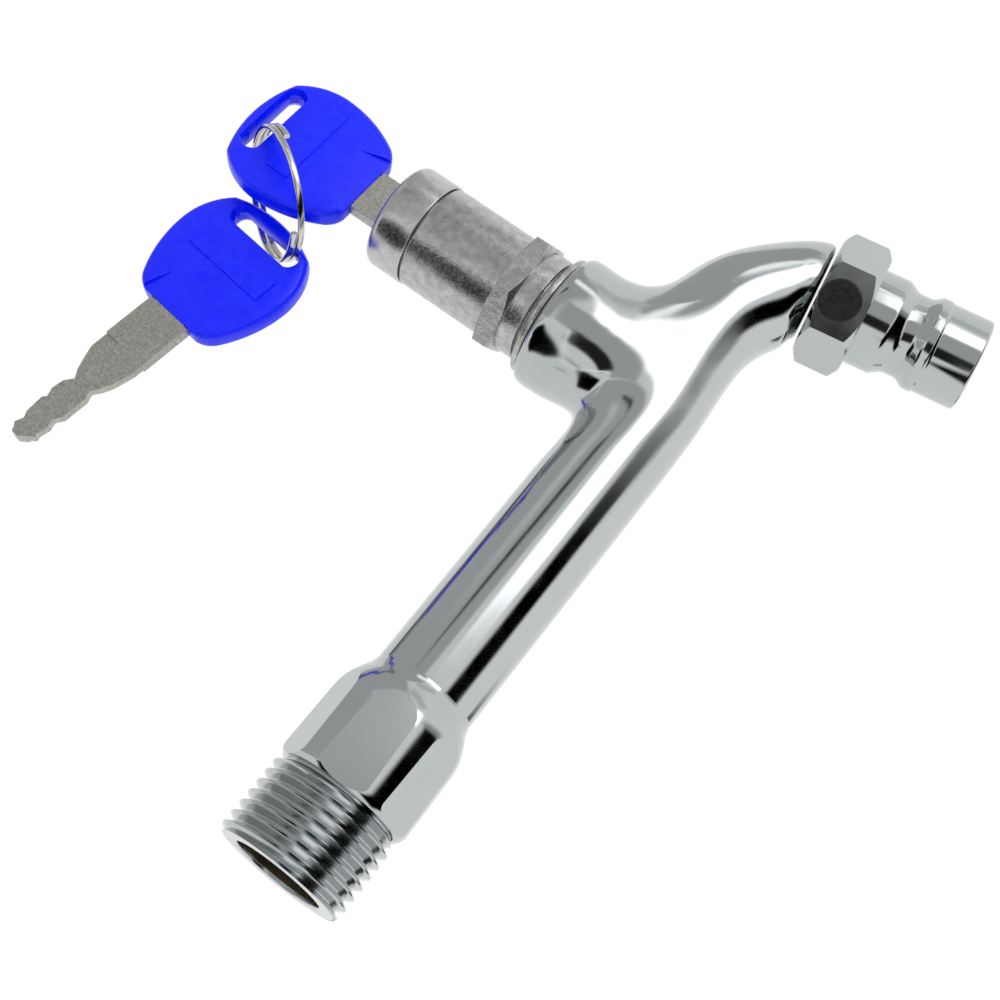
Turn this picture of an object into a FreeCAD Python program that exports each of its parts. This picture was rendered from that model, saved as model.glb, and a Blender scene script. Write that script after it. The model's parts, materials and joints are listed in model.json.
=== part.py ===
# Lockable garden tap: a chrome-plated cast body with a long neck, a key-operated
# quarter-turn lock in place of a handle, a hose nozzle and two keys on a split ring.
# Millimetres. The origin is the middle of the inlet's end face, +Y points out of the
# inlet towards the wall, and +Z points up along the lock.
import FreeCAD, Part
import math
import os
import re
import Sketcher
from FreeCAD import Placement, Rotation, Vector

doc = FreeCAD.newDocument("LockableTap")
sheet = doc.addObject("Spreadsheet::Sheet", "Sizes")

# Driving dimensions: alias, value and what it measures.
DIMENSIONS = (
    ("thread_r", 10.48, "inlet thread, major radius (G 1/2)"),
    ("thread_end", 12.7, "inlet thread, length from the end face"),
    ("relief_r", 9.3, "undercut between thread and hexagon"),
    ("wrench_start", 13.5, "where the inlet hexagon starts"),
    ("wrench_end", 27.4, "where the inlet hexagon runs out"),
    ("wrench_blank_r", 10.85, "turned blank of the inlet hexagon"),
    ("wrench_flats", 20.2, "inlet hexagon across its flats"),
    ("neck_r", 8.35, "outside of the neck"),
    ("neck_start", 31.6, "where the shoulder meets the neck"),
    ("spout_start", 72.0, "where the turned neck ends and the lofted casting starts"),
    ("inlet_to_lock", 94.7, "inlet end face to the lock's axis"),
    ("boss_r", 11.6, "boss that takes the lock"),
    ("boss_top", 21.3, "top of the boss above the neck's axis"),
    ("boss_waist", 11.5, "where the boss starts to draw in"),
    ("boss_root_r", 7.3, "radius of the boss where it sinks into the neck"),
    ("boss_root", -3.0, "height of that root"),
    ("blend_r", 5.0, "cast blend between boss, neck and spout"),
    ("inlet_bore_r", 7.25, "bore at the inlet end"),
    ("inlet_bore_depth", 22.0, "its depth"),
    ("passage_r", 4.2, "water passage along the neck"),
    ("passage_drop", 2.2, "how far the passage lies below the neck's axis"),
    ("passage_end", 98.5, "blind end of the passage"),
    ("chamber_floor", 4.5, "floor of the valve chamber"),
    ("chamber_r", 7.2, "lower part of the chamber"),
    ("chamber_step", 11.9, "step that carries the cartridge"),
    ("boss_bore_r", 8.0, "threaded upper part of the chamber"),
    ("seat_hole_r", 3.6, "hole through the chamber floor"),
    ("outlet_r", 4.5, "slanting passage from the chamber to the spout"),
    ("spout_bore_r", 5.7, "bore of the spout"),
    ("stub_r", 6.6, "threaded stub that carries the nozzle"),
    ("stub_length", 5.5, "its length"),
    ("washer_r", 10.4, "flange washer, outside"),
    ("washer_rise", 1.3, "its thickness"),
    ("washer_rim_r", 9.8, "its top edge, after the bevel"),
    ("barrel_r", 8.9, "lock barrel"),
    ("barrel_top", 45.6, "top of the barrel"),
    ("collar_r", 9.0, "collar under the hexagon"),
    ("collar_base", 23.3, "lower edge of the collar"),
    ("hex_base", 26.4, "lower edge of the lock's hexagon"),
    ("hex_top", 29.95, "its upper edge"),
    ("hex_flats", 19.0, "across its flats"),
    ("hex_blank_r", 10.95, "turned blank of that hexagon"),
    ("barrel_stub_r", 7.9, "threaded stub of the barrel"),
    ("barrel_stub_base", 13.2, "its lower end"),
    ("plug_r", 5.9, "lock plug"),
    ("plug_base", 24.4, "lower end of the plug"),
    ("running_gap", 0.05, "radial clearance of turning fits"),
    ("plug_head_r", 6.9, "head flange of the plug"),
    ("plug_head_top", 48.4, "top of that flange"),
    ("plug_nose_r", 5.6, "nose of the plug"),
    ("plug_face", 52.4, "face of the plug"),
    ("cap_r", 9.1, "cap ring, outside"),
    ("cap_base", 45.95, "lower edge of the cap"),
    ("cap_face", 52.7, "front face of the cap"),
    ("cap_round", 1.5, "rounded front edge of the cap"),
    ("spigot_r", 7.7, "spigot of the barrel that the cap is pressed on"),
    ("spigot_top", 48.6, "top of that spigot"),
    ("keyway_width", 2.5, "keyway, across"),
    ("keyway_height", 9.2, "keyway, along the blade's width"),
    ("keyway_step", 42.0, "where the keyway narrows for the bitted part of the blade"),
    ("bit_width", 5.9, "bitted part of the blade, across"),
    ("keyway_floor", 27.4, "bottom of the keyway"),
    ("rest_turn", 4.4, "turn of the keyway from the neck's direction, degrees"),
    ("tumbler_first", 31.4, "lowest tumbler"),
    ("tumbler_pitch", 2.9, "from one tumbler to the next"),
    ("tumbler_thick", 1.0, "thickness of a tumbler"),
    ("tumbler_width", 5.4, "width of a tumbler"),
    ("tumbler_travel", 0.5, "how far a tumbler springs out"),
    ("spindle_r", 3.9, "spindle"),
    ("driver_base", 9.4, "underside of the spindle's driver plate"),
    ("driver_r", 5.2, "driver plate on the spindle"),
    ("disc_r", 5.5, "ceramic discs"),
    ("fixed_disc_base", 5.9, "underside of the fixed disc"),
    ("disc_thick", 1.7, "thickness of a ceramic disc"),
    ("shell_r", 7.1, "cartridge shell, outside"),
    ("shell_bore_r", 5.6, "cartridge shell, inside"),
    ("nozzle_lean", 80.6, "slope of the nozzle's axis below the horizontal, degrees"),
    ("nozzle_y", -129.73, "middle of the nozzle's end face"),
    ("nozzle_z", -36.52, "middle of the nozzle's end face"),
    ("nozzle_length", 27.1, "nozzle, end to end"),
    ("nut_base", 18.9, "from the nozzle's end to its hexagon"),
    ("nut_flats", 19.6, "nozzle hexagon across its flats"),
    ("nut_blank_r", 11.5, "turned blank of that hexagon"),
    ("nozzle_bore_r", 5.0, "bore of the nozzle"),
    ("nozzle_first_r", 8.1, "cylinder next to the hexagon"),
    ("nozzle_groove_r", 6.95, "latch groove"),
    ("nozzle_crest_r", 7.95, "crest ring"),
    ("nozzle_tip_r", 7.7, "end cylinder"),
    ("screw_r", 3.6, "set screw"),
    ("screw_station", 23.5, "set screw, from the nozzle's end"),
    ("blade_width", 8.8, "key blade, across"),
    ("blade_thick", 2.2, "key blade"),
    ("blade_length", 31.2, "key blade, from the bow's shoulder to the tip"),
    ("shoulder", 59.15, "height of the bow's shoulder with the key home"),
    ("bow_thick", 4.2, "key bow"),
    ("bow_round", 1.2, "rounded edges of the key bow"),
    ("bow_base_half", 6.0, "key bow, half its straight lower edge"),
    ("bow_hip_half", 8.85, "key bow, half width at the hip"),
    ("bow_hip", 1.9, "height of the hip above the shoulder"),
    ("bow_half", 12.3, "key bow, half its greatest width"),
    ("bow_widest", 13.1, "height of the greatest width"),
    ("bow_crown_half", 8.85, "key bow, half width where the crown starts"),
    ("bow_crown", 22.2, "height where the crown starts"),
    ("slot_height", 3.8, "slot in the bow"),
    ("slot_length", 15.0, "slot in the bow, end to end"),
    ("slot_centre", 20.2, "slot, above the shoulder"),
    ("slot_shift", -0.7, "slot, off the middle of the bow"),
    ("facet_depth", 0.6, "sloped facet of the bow, its depth at the shoulder"),
    ("facet_top", 5.3, "where that facet runs out"),
    ("facet_low_half", 6.9, "half its width at the shoulder"),
    ("facet_high_half", 4.75, "half its width where it runs out"),
    ("tang_width", 7.0, "tang of the blade inside the bow"),
    ("tang_length", 9.0, "its length"),
    ("step_depth", 0.7, "milled step along each edge of the blade"),
    ("ring_mean_r", 10.85, "split ring, middle of the winding"),
    ("ring_wire", 0.7, "split ring, wire thickness"),
    ("ring_pitch", 1.15, "split ring, from one turn to the next"),
)
ALIASES = {row[0] for row in DIMENSIONS}
for line, (alias, value, note) in enumerate(DIMENSIONS, start=1):
    sheet.set(f"A{line}", note)
    sheet.set(f"B{line}", str(value))
    sheet.setAlias(f"B{line}", alias)
doc.recompute()


def bound(text):
    """The expression as other objects of the document write it."""
    return re.sub(r"[a-z][a-z_]*", lambda m: "Sizes." + m.group() if m.group() in ALIASES else m.group(), text)


def size(text):
    """The value that an expression of driving dimensions has now."""
    return float(sheet.evalExpression(text))


def bind(item, **expressions):
    """Ties properties of an object to the sheet; a double underscore stands for a dot."""
    for name, text in expressions.items():
        item.setExpression(name.replace("__", "."), bound(text))
    return item


def stand(item, y="0", z="0", turn=None):
    """Sets an object down with its own Z axis upright, turned about it if asked."""
    if turn is not None:
        item.Placement = Placement(Vector(), Rotation(Vector(0, 0, 1), size(turn)))
        bind(item, Placement__Rotation__Angle=turn)
    return bind(item, Placement__Base__y=y, Placement__Base__z=z)


def lay(item, angle, y="0", z="0"):
    """Tips an object's own Z axis over towards -Y by an angle in degrees."""
    item.Placement = Placement(Vector(), Rotation(Vector(1, 0, 0), size(angle)))
    return bind(item, Placement__Rotation__Angle=angle, Placement__Base__y=y, Placement__Base__z=z)


def outline_side(start, end, radius):
    """A straight side or, given a radius, an arc that bulges to the right of its direction."""
    if radius is None:
        return Part.LineSegment(start, end)
    chord = end - start
    rise = radius - math.sqrt(radius ** 2 - (chord.Length / 2) ** 2)
    outward = Vector(chord.y, -chord.x, 0).normalize()
    return Part.Arc(start, (start + end) / 2 + outward * rise, end)


def outline_sketch(body, name, plane_role, corners):
    """A closed outline on one of the body's planes, held by expressions. Each corner is two
    coordinates and, where an arc leads on to the next corner, the arc's radius."""
    sketch = body.newObject("Sketcher::SketchObject", name)
    plane = next(item for item in body.Origin.OriginFeatures if item.Role == plane_role)
    sketch.AttachmentSupport = (plane, [""])
    sketch.MapMode = "FlatFace"
    points = [Vector(size(corner[0]), size(corner[1]), 0) for corner in corners]
    radii = [size(corner[2]) if len(corner) > 2 else None for corner in corners]
    ends = []
    for index, point in enumerate(points):
        line = outline_side(point, points[(index + 1) % len(points)], radii[index])
        place = sketch.addGeometry(line)
        swapped = radii[index] is not None and (sketch.Geometry[place].StartPoint - point).Length > 1e-6
        ends.append((2, 1) if swapped else (1, 2))
    for index in range(len(points)):
        following = (index + 1) % len(points)
        sketch.addConstraint(Sketcher.Constraint("Coincident", index, ends[index][1], following, ends[following][0]))
    for index, corner in enumerate(corners):
        for kind, axis, text in (("DistanceX", -2, corner[0]), ("DistanceY", -1, corner[1])):
            if abs(size(text)) < 1e-9:
                sketch.addConstraint(Sketcher.Constraint("PointOnObject", index, ends[index][0], axis))
                continue
            place = sketch.addConstraint(Sketcher.Constraint(kind, -1, 1, index, ends[index][0], size(text)))
            sketch.setExpression(f"Constraints[{place}]", bound(text))
        if radii[index] is not None:
            place = sketch.addConstraint(Sketcher.Constraint("Radius", index, radii[index]))
            sketch.setExpression(f"Constraints[{place}]", bound(corner[2]))
    return sketch


def turned(name, corners):
    """A body turned about its own Z axis from corners of radius and height."""
    body = doc.addObject("PartDesign::Body", name)
    sketch = outline_sketch(body, name + "_outline", "XZ_Plane", corners)
    revolution = body.newObject("PartDesign::Revolution", name + "_revolution")
    revolution.Profile = sketch
    revolution.ReferenceAxis = (sketch, ["V_Axis"])
    revolution.Angle = 360
    doc.recompute()
    return body


def plate(name, corners, thickness):
    """A flat body in its own YZ plane, half its thickness to either side."""
    body = doc.addObject("PartDesign::Body", name)
    sketch = outline_sketch(body, name + "_outline", "YZ_Plane", corners)
    pad = body.newObject("PartDesign::Pad", name + "_pad")
    pad.Profile = sketch
    pad.SideType = "Symmetric"
    bind(pad, Length=thickness)
    doc.recompute()
    return body


def rims(shape, wanted):
    """Names of the round edges with the given radii and heights on the Z axis."""
    names = []
    for number, edge in enumerate(shape.Edges, start=1):
        if edge.Curve.TypeId != "Part::GeomCircle":
            continue
        for radius, height in wanted:
            if abs(edge.Curve.Radius - radius) < 1e-3 and abs(edge.Curve.Center.z - height) < 1e-3:
                names.append(f"Edge{number}")
    return names


def rounded(body, radius, *wanted):
    """Rounds the named rims of a turned body."""
    pairs = [(size(rim), size(height)) for rim, height in wanted]
    before = body.Tip
    fillet = body.newObject("PartDesign::Fillet", f"{body.Name}_round")
    fillet.Base = (before, rims(before.Shape, pairs))
    bind(fillet, Radius=radius)
    doc.recompute()
    return body


def cylinder(name, radius, height, base="0"):
    item = doc.addObject("Part::Cylinder", name)
    return bind(item, Radius=radius, Height=height, Placement__Base__z=base)


def prism(name, across_flats, base, height, turn):
    """A hexagonal prism about the Z axis, by its size across the flats."""
    item = doc.addObject("Part::Prism", name)
    item.Polygon = 6
    item.Placement = Placement(Vector(), Rotation(Vector(0, 0, 1), turn))
    return bind(item, Circumradius=f"{across_flats} / 2 / cos(30)", Height=height, Placement__Base__z=base)


def block(name, length, width, height, x="0", y="0", z="0"):
    """A box centred on x and y that stands on z."""
    item = doc.addObject("Part::Box", name)
    bind(item, Length=length, Width=width, Height=height)
    return bind(item, Placement__Base__x=f"{x} - ({length}) / 2", Placement__Base__y=f"{y} - ({width}) / 2",
                Placement__Base__z=z)


def joined(kind, name, shapes):
    item = doc.addObject(kind, name)
    item.Shapes = list(shapes)
    doc.recompute()
    return item


def fuse(name, *shapes):
    return joined("Part::MultiFuse", name, shapes)


def common(name, *shapes):
    return joined("Part::MultiCommon", name, shapes)


def cut(name, first, *tools):
    """Takes tools away from a first object, one after the other."""
    for count, tool in enumerate(tools, start=1):
        step = doc.addObject("Part::Cut", name if count == len(tools) else f"{name}_cut_{count}")
        step.Base, step.Tool = first, tool
        first = step
    doc.recompute()
    return first


nodes = {}


def node(name, item):
    """Keeps an object as a sub-part under the name of its node."""
    item.Label = name
    nodes[name] = item
    return item


# Cast body. Thread stub, inlet hexagon and straight neck are turned about the inlet's axis.
stub = turned("inlet_stub", [
    ("0", "0"),
    ("thread_r - 0.9", "0"),
    ("thread_r", "0.9"),
    ("thread_r", "thread_end - 0.9"),
    ("relief_r", "thread_end"),
    ("relief_r", "wrench_start + 1"),
    ("0", "wrench_start + 1"),
])
blank = turned("wrench_blank", [
    ("0", "wrench_start"),
    ("wrench_blank_r - 0.9", "wrench_start"),
    ("wrench_blank_r", "wrench_start + 0.9"),
    ("wrench_blank_r - 0.25", "wrench_end"),
    ("neck_r", "neck_start"),
    ("neck_r", "spout_start"),
    ("0", "spout_start"),
])
rounded(blank, "3", ("wrench_blank_r - 0.25", "wrench_end"), ("neck_r", "neck_start"))
flats = prism("wrench_flats_prism", "wrench_flats", "wrench_start", "spout_start - wrench_start", 30)
neck = fuse("neck_and_inlet", stub, common("wrench_and_neck", blank, flats))
lay(neck, "90")

# Spout: a smooth loft through round sections in the plane of the tap. Each station gives
# the distance from the inlet face, the height, the radius and the downward slope in degrees.
SPOUT = (
    ("spout_start", "0", "neck_r", "0"),
    ("79", "0", "neck_r", "0"),
    ("86", "0.01", "neck_r", "-1"),
    ("91.5", "0.15", "neck_r + 0.05", "-4"),
    ("98.5", "0.95", "8.6", "-8"),
    ("105.5", "1.8", "9.05", "0"),
    ("111.5", "0.95", "9.1", "16"),
    ("117", "-1.4", "8.85", "32"),
    ("121.5", "-5.1", "8.65", "52"),
)


def section(name, station, height, radius, slope):
    """A round section of the spout."""
    ring = doc.addObject("Part::Circle", name)
    bind(ring, Radius=radius)
    return lay(ring, f"90 + {slope}", f"-({station})", height)


def end_section(name, radius, above):
    """A round section on the nozzle's axis, some way up from the nozzle's end."""
    ring = doc.addObject("Part::Circle", name)
    bind(ring, Radius=radius)
    return lay(ring, "90 + nozzle_lean", f"nozzle_y + ({above}) * cos(nozzle_lean)",
               f"nozzle_z + ({above}) * sin(nozzle_lean)")


def loft(name, sections):
    item = doc.addObject("Part::Loft", name)
    item.Sections = sections
    item.Solid = True
    item.Ruled = False
    doc.recompute()
    return item


sections = [section(f"spout_section_{number}", *row) for number, row in enumerate(SPOUT)]
sections.append(end_section("spout_section_end", "8.55", "nozzle_length + 0.4"))
spout = loft("spout_skin", sections)

# Boss: an upright cylinder that draws in below and sinks into the neck.
boss = turned("boss_blank", [
    ("0", "boss_root - 3"),
    ("boss_root_r - 2.6", "boss_root - 3"),
    ("boss_root_r", "boss_root"),
    ("boss_r", "boss_waist"),
    ("boss_r", "boss_top"),
    ("0", "boss_top"),
])
rounded(boss, "0.6", ("boss_r", "boss_top"))
rounded(boss, "12", ("boss_r", "boss_waist"))
stand(boss, y="-inlet_to_lock")

# Throat: on the spout's side the boss runs on in a wide bend, which sinks into the spout, so
# that the two flow into each other. Its sections are written as the spout's are.
THROAT = (
    ("inlet_to_lock", "boss_top - 0.3", "boss_r - 0.1", "90"),
    ("95.9", "15.7", "11.05", "75"),
    ("98.9", "10.5", "10.4", "60"),
    ("103.6", "6.2", "9.8", "45"),
    ("110", "2.7", "9.15", "34"),
    ("116.5", "-1.6", "8.6", "36"),
)
throat = loft("throat", [section(f"throat_section_{number}", *row) for number, row in enumerate(THROAT)])
skin = fuse("body_skin", neck, spout, boss, throat)


def seam(whole, first, second):
    """Numbers of the edges of a fused solid where the skins of two of its parts meet."""
    found = []
    skins = [part.Shape.Shells[0] for part in (first, second)]
    for number, edge in enumerate(whole.Shape.Edges, start=1):
        low, high = edge.ParameterRange
        spots = [Part.Vertex(edge.valueAt(low + (high - low) * share)) for share in (0.1, 0.5, 0.9)]
        if all(skin.distToShape(spot)[0] < 1e-3 for skin in skins for spot in spots):
            found.append(number)
    return found


# Waterways: inlet bore, the passage under the chamber, the chamber with its thread bore,
# the slanting outlet and the bore of the spout, which ends in a threaded stub.
inlet_bore = lay(cylinder("inlet_bore", "inlet_bore_r", "inlet_bore_depth"), "90")
passage = lay(cylinder("passage", "passage_r", "passage_end - 10"), "90", y="-10", z="-passage_drop")
seat_hole = stand(cylinder("seat_hole", "seat_hole_r", "chamber_floor + passage_drop"),
                  y="-inlet_to_lock", z="-passage_drop")
chamber = turned("chamber", [
    ("0", "chamber_floor"),
    ("chamber_r", "chamber_floor"),
    ("chamber_r", "chamber_step"),
    ("boss_bore_r", "chamber_step"),
    ("boss_bore_r", "boss_top + 1"),
    ("0", "boss_top + 1"),
])
stand(chamber, y="-inlet_to_lock")
outlet = lay(cylinder("outlet", "outlet_r", "16"), "130", y="-96.5", z="10.4")
elbow = doc.addObject("Part::Sphere", "outlet_elbow")
bind(elbow, Radius="outlet_r + 0.4", Placement__Base__y="-109", Placement__Base__z="0.6")
bore_sections = [section(f"bore_section_{number}", row[0], row[1], "spout_bore_r", row[3])
                 for number, row in enumerate(SPOUT[6:])]
bore_sections.append(end_section("bore_section_end", "spout_bore_r - 0.3", "nozzle_length + 1.4"))
spout_bore = loft("spout_bore", bore_sections)


def on_nozzle_axis(item, above):
    """Sets an object on the nozzle's axis, some way up from the nozzle's end."""
    return lay(item, "nozzle_lean - 90", f"nozzle_y + ({above}) * cos(nozzle_lean)",
               f"nozzle_z + ({above}) * sin(nozzle_lean)")


stub_base = "nozzle_length + 0.4 - stub_length"
spout_stub = on_nozzle_axis(cylinder("spout_stub", "stub_r", "stub_length + 1.5"), stub_base)
spout_mouth = on_nozzle_axis(cylinder("spout_mouth", "spout_bore_r - 0.5", "stub_length + 2.5"), f"{stub_base} - 1")
casting = fuse("casting", skin, spout_stub)
blended = doc.addObject("Part::Fillet", "blended_casting")
blended.Base = casting
seams = {number for pair in ((boss, spout), (boss, throat), (spout, throat)) for number in seam(casting, *pair)}
blended.Edges = [(number, size("blend_r"), size("blend_r")) for number in sorted(seams)]
body = cut("body", blended, inlet_bore, passage, seat_hole, chamber, outlet, elbow, spout_bore, spout_mouth)
doc.recompute()
print("casting", round(casting.Shape.Volume), "with blends", round(blended.Shape.Volume),
      "with its bores", round(body.Shape.Volume), "mm3")
node("tap_body", body)

# Hose nozzle: a hexagon that screws on the spout's stub, a latch groove and a crest ring
# for a quick hose connector. It is turned about its own axis, end face down.
nozzle_turned = turned("nozzle_turned", [
    ("nozzle_bore_r", "0"),
    ("nozzle_tip_r - 0.6", "0"),
    ("nozzle_tip_r", "0.6"),
    ("nozzle_tip_r", "6.9"),
    ("nozzle_crest_r", "7.4"),
    ("nozzle_crest_r", "8.8"),
    ("nozzle_groove_r", "10.2"),
    ("nozzle_groove_r", "12.7"),
    ("nozzle_first_r", "14.8"),
    ("nozzle_first_r", "nut_base + 0.5"),
    ("stub_r + 0.05", "nut_base + 0.5"),
    ("nozzle_bore_r", "nut_base + 0.5"),
])
nut_blank = turned("nut_blank", [
    ("nozzle_bore_r", "nut_base"),
    ("nut_blank_r - 1.5", "nut_base"),
    ("nut_blank_r", "nut_base + 1.3"),
    ("nut_blank_r", "nozzle_length - 1.5"),
    ("nut_blank_r - 1.8", "nozzle_length"),
    ("stub_r + 0.05", "nozzle_length"),
    ("stub_r + 0.05", "nut_base + 1.7"),
    ("nozzle_bore_r", "nut_base + 1.7"),
])
nut = common("nut", nut_blank, prism("nut_flats_prism", "nut_flats", "nut_base", "nozzle_length - nut_base", 0))
screw_hole = doc.addObject("Part::Cylinder", "screw_hole")
bind(screw_hole, Radius="screw_r + 0.05", Height="8")


def into_nut(item, depth):
    """Lays an object across the nozzle, square to the hexagon's flat that takes the screw."""
    item.Placement = Placement(Vector(), Rotation(Vector(0, 0, 1), 150) * Rotation(Vector(0, 1, 0), 90))
    return bind(item, Placement__Base__x=f"({depth}) * cos(150)", Placement__Base__y=f"({depth}) * sin(150)",
                Placement__Base__z="screw_station")


into_nut(screw_hole, "stub_r - 1")
node("hose_nozzle", on_nozzle_axis(cut("nozzle", fuse("nozzle_blank", nozzle_turned, nut), screw_hole), "0"))
screw = turned("screw", [
    ("0", "0"),
    ("screw_r - 0.7", "0"),
    ("screw_r", "0.5"),
    ("screw_r", "2.3"),
    ("screw_r - 0.3", "2.6"),
    ("0", "2.6"),
])
into_nut(screw, "stub_r + 0.1")
screw_key = cylinder("screw_socket", "1.7", "2")
into_nut(screw_key, "stub_r + 1.2")
node("nozzle_set_screw", on_nozzle_axis(cut("set_screw", screw, screw_key), "0"))
seal = turned("nozzle_gasket", [
    ("nozzle_bore_r + 0.6", "nut_base + 1.72"),
    ("stub_r", "nut_base + 1.72"),
    ("stub_r", "nozzle_length + 0.38 - stub_length"),
    ("nozzle_bore_r + 0.6", "nozzle_length + 0.38 - stub_length"),
])
node("nozzle_seal", on_nozzle_axis(seal, "0"))

# Lock housing: threaded stub, collar, hexagon, barrel and the spigot for the cap in one
# turned part. Its bore holds the plug, and channels in it take the tumblers.
housing = turned("housing_turned", [
    ("spindle_r + running_gap", "barrel_stub_base"),
    ("barrel_stub_r", "barrel_stub_base"),
    ("barrel_stub_r", "19.6"),
    ("barrel_stub_r - 0.9", "19.6"),
    ("barrel_stub_r - 0.9", "20.9"),
    ("barrel_stub_r", "20.9"),
    ("barrel_stub_r", "collar_base"),
    ("collar_r", "collar_base"),
    ("collar_r", "hex_base + 0.5"),
    ("barrel_r", "hex_top - 0.5"),
    ("barrel_r", "barrel_top"),
    ("spigot_r", "barrel_top"),
    ("spigot_r", "spigot_top"),
    ("plug_head_r + running_gap", "spigot_top"),
    ("plug_head_r + running_gap", "barrel_top + 0.1"),
    ("plug_r + running_gap", "barrel_top + 0.1"),
    ("plug_r + running_gap", "plug_base - 0.1"),
    ("spindle_r + running_gap", "plug_base - 0.1"),
])
lock_hex_blank = turned("lock_hex_blank", [
    ("plug_r + 1", "hex_base"),
    ("hex_flats / 2 - 0.1", "hex_base"),
    ("hex_blank_r", "hex_base + 0.7"),
    ("hex_blank_r", "hex_top - 0.5"),
    ("hex_flats / 2 - 0.1", "hex_top"),
    ("plug_r + 1", "hex_top"),
])
lock_hexagon = common("lock_hexagon", lock_hex_blank,
                      prism("lock_hex_prism", "hex_flats", "hex_base", "hex_top - hex_base", 30))
reach = "2 * (plug_r + tumbler_travel + 0.25)"
span = "3 * tumbler_pitch + tumbler_thick + 1.2"
channels = fuse("channels",
                block("channels_one", "tumbler_width + 0.6", reach, span, z="tumbler_first - 0.6"),
                block("channels_two", reach, "tumbler_width + 0.6", span, z="tumbler_first - 0.6"))
stand(channels, turn="rest_turn")
node("lock_barrel", stand(cut("barrel", fuse("barrel_blank", housing, lock_hexagon), channels), y="-inlet_to_lock"))

washer = turned("washer", [
    ("barrel_stub_r + 0.1", "boss_top + 0.1"),
    ("washer_r", "boss_top + 0.1"),
    ("washer_r", "boss_top + washer_rise - 0.4"),
    ("washer_rim_r", "boss_top + washer_rise"),
    ("barrel_stub_r + 0.1", "boss_top + washer_rise"),
])
node("flange_washer", stand(washer, y="-inlet_to_lock"))

cap = turned("cap", [
    ("spigot_r + 0.03", "cap_base"),
    ("cap_r", "cap_base"),
    ("cap_r", "cap_face"),
    ("plug_nose_r + 0.4", "cap_face"),
    ("plug_nose_r + running_gap", "cap_face - 0.4"),
    ("plug_nose_r + running_gap", "spigot_top + 0.1"),
    ("spigot_r + 0.03", "spigot_top + 0.1"),
])
rounded(cap, "cap_round", ("cap_r", "cap_face"))
node("lock_cap", stand(cap, y="-inlet_to_lock"))


def seal_ring(name, inner, outer, low, high):
    """A rubber ring of rounded section, squeezed between two walls."""
    ring = turned(name, [(inner, low), (outer, low), (outer, high), (inner, high)])
    return rounded(ring, "0.35", (inner, low), (outer, low), (outer, high), (inner, high))


node("housing_seal", stand(seal_ring("housing_o_ring", "barrel_stub_r - 0.88", "boss_bore_r - 0.03", "19.7", "20.8"),
                           y="-inlet_to_lock"))
node("seat_seal", stand(seal_ring("seat_ring", "seat_hole_r + 0.2", "disc_r", "chamber_floor + 0.02",
                                  "fixed_disc_base - 0.02"), y="-inlet_to_lock"))

# Valve: a cartridge shell that carries a fixed and a turning ceramic disc. Each disc has
# two holes, a quarter turn apart with the key as drawn, so that no water passes.
shell = turned("shell_turned", [
    ("shell_bore_r", "chamber_floor + 0.05"),
    ("shell_r", "chamber_floor + 0.05"),
    ("shell_r", "chamber_step"),
    ("shell_bore_r", "chamber_step"),
])
windows = block("shell_windows", "7", "2 * shell_r + 2", "2.2", z="driver_base + 0.1")
node("valve_cartridge", stand(cut("shell", shell, windows), y="-inlet_to_lock", turn="rest_turn"))
thrust = turned("thrust_ring", [
    ("spindle_r + 0.2", "chamber_step + 0.05"),
    ("shell_r + 0.2", "chamber_step + 0.05"),
    ("shell_r + 0.2", "barrel_stub_base - 0.05"),
    ("spindle_r + 0.2", "barrel_stub_base - 0.05"),
])
node("thrust_washer", stand(thrust, y="-inlet_to_lock"))


def disc(name, base, holes_across):
    """A ceramic disc with two water holes on one diameter."""
    blank = cylinder(name + "_blank", "disc_r", "disc_thick", base)
    holes = []
    for side in (-1, 1):
        hole = cylinder(f"{name}_hole_{side + 2}", "1.3", "disc_thick + 2", f"{base} - 1")
        bind(hole, **{"Placement__Base__x" if holes_across else "Placement__Base__y": f"{2.3 * side}"})
        holes.append(hole)
    return blank, holes


fixed_blank, fixed_holes = disc("fixed_disc", "fixed_disc_base", False)
node("fixed_disc", stand(cut("lower_disc", fixed_blank, *fixed_holes), y="-inlet_to_lock", turn="rest_turn"))
turning_base = "fixed_disc_base + disc_thick + 0.03"
moving_blank, moving_holes = disc("moving_disc", turning_base, True)
tongue_slot = block("tongue_slot", "1.65", "8.2", "2", z="driver_base - 1.1")
node("moving_disc", stand(cut("upper_disc", moving_blank, *moving_holes, tongue_slot),
                          y="-inlet_to_lock", turn="rest_turn"))

# Spindle: driver plate with a tongue in the turning disc, a stem with two seal grooves,
# and a square that the plug turns.
stem = turned("stem", [
    ("0", "driver_base"),
    ("driver_r", "driver_base"),
    ("driver_r", "driver_base + 1.4"),
    ("spindle_r", "driver_base + 1.4"),
    ("spindle_r", "15.4"),
    ("spindle_r - 1", "15.4"),
    ("spindle_r - 1", "16.8"),
    ("spindle_r", "16.8"),
    ("spindle_r", "18.6"),
    ("spindle_r - 1", "18.6"),
    ("spindle_r - 1", "20"),
    ("spindle_r", "20"),
    ("spindle_r", "plug_base - 0.3"),
    ("0", "plug_base - 0.3"),
])
tongue = block("tongue", "1.6", "8", "1.2", z="driver_base - 1")
square = block("square", "4.6", "4.6", "2.8", z="plug_base - 0.6")
ports = [cylinder(f"driver_port_{side + 2}", "1.3", "4", "driver_base - 1") for side in (-1, 1)]
for side, port in zip((-1, 1), ports):
    bind(port, Placement__Base__x=f"{2.55 * side}")
node("spindle", stand(cut("spindle_body", fuse("spindle_blank", stem, tongue, square), *ports),
                      y="-inlet_to_lock", turn="rest_turn"))
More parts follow.
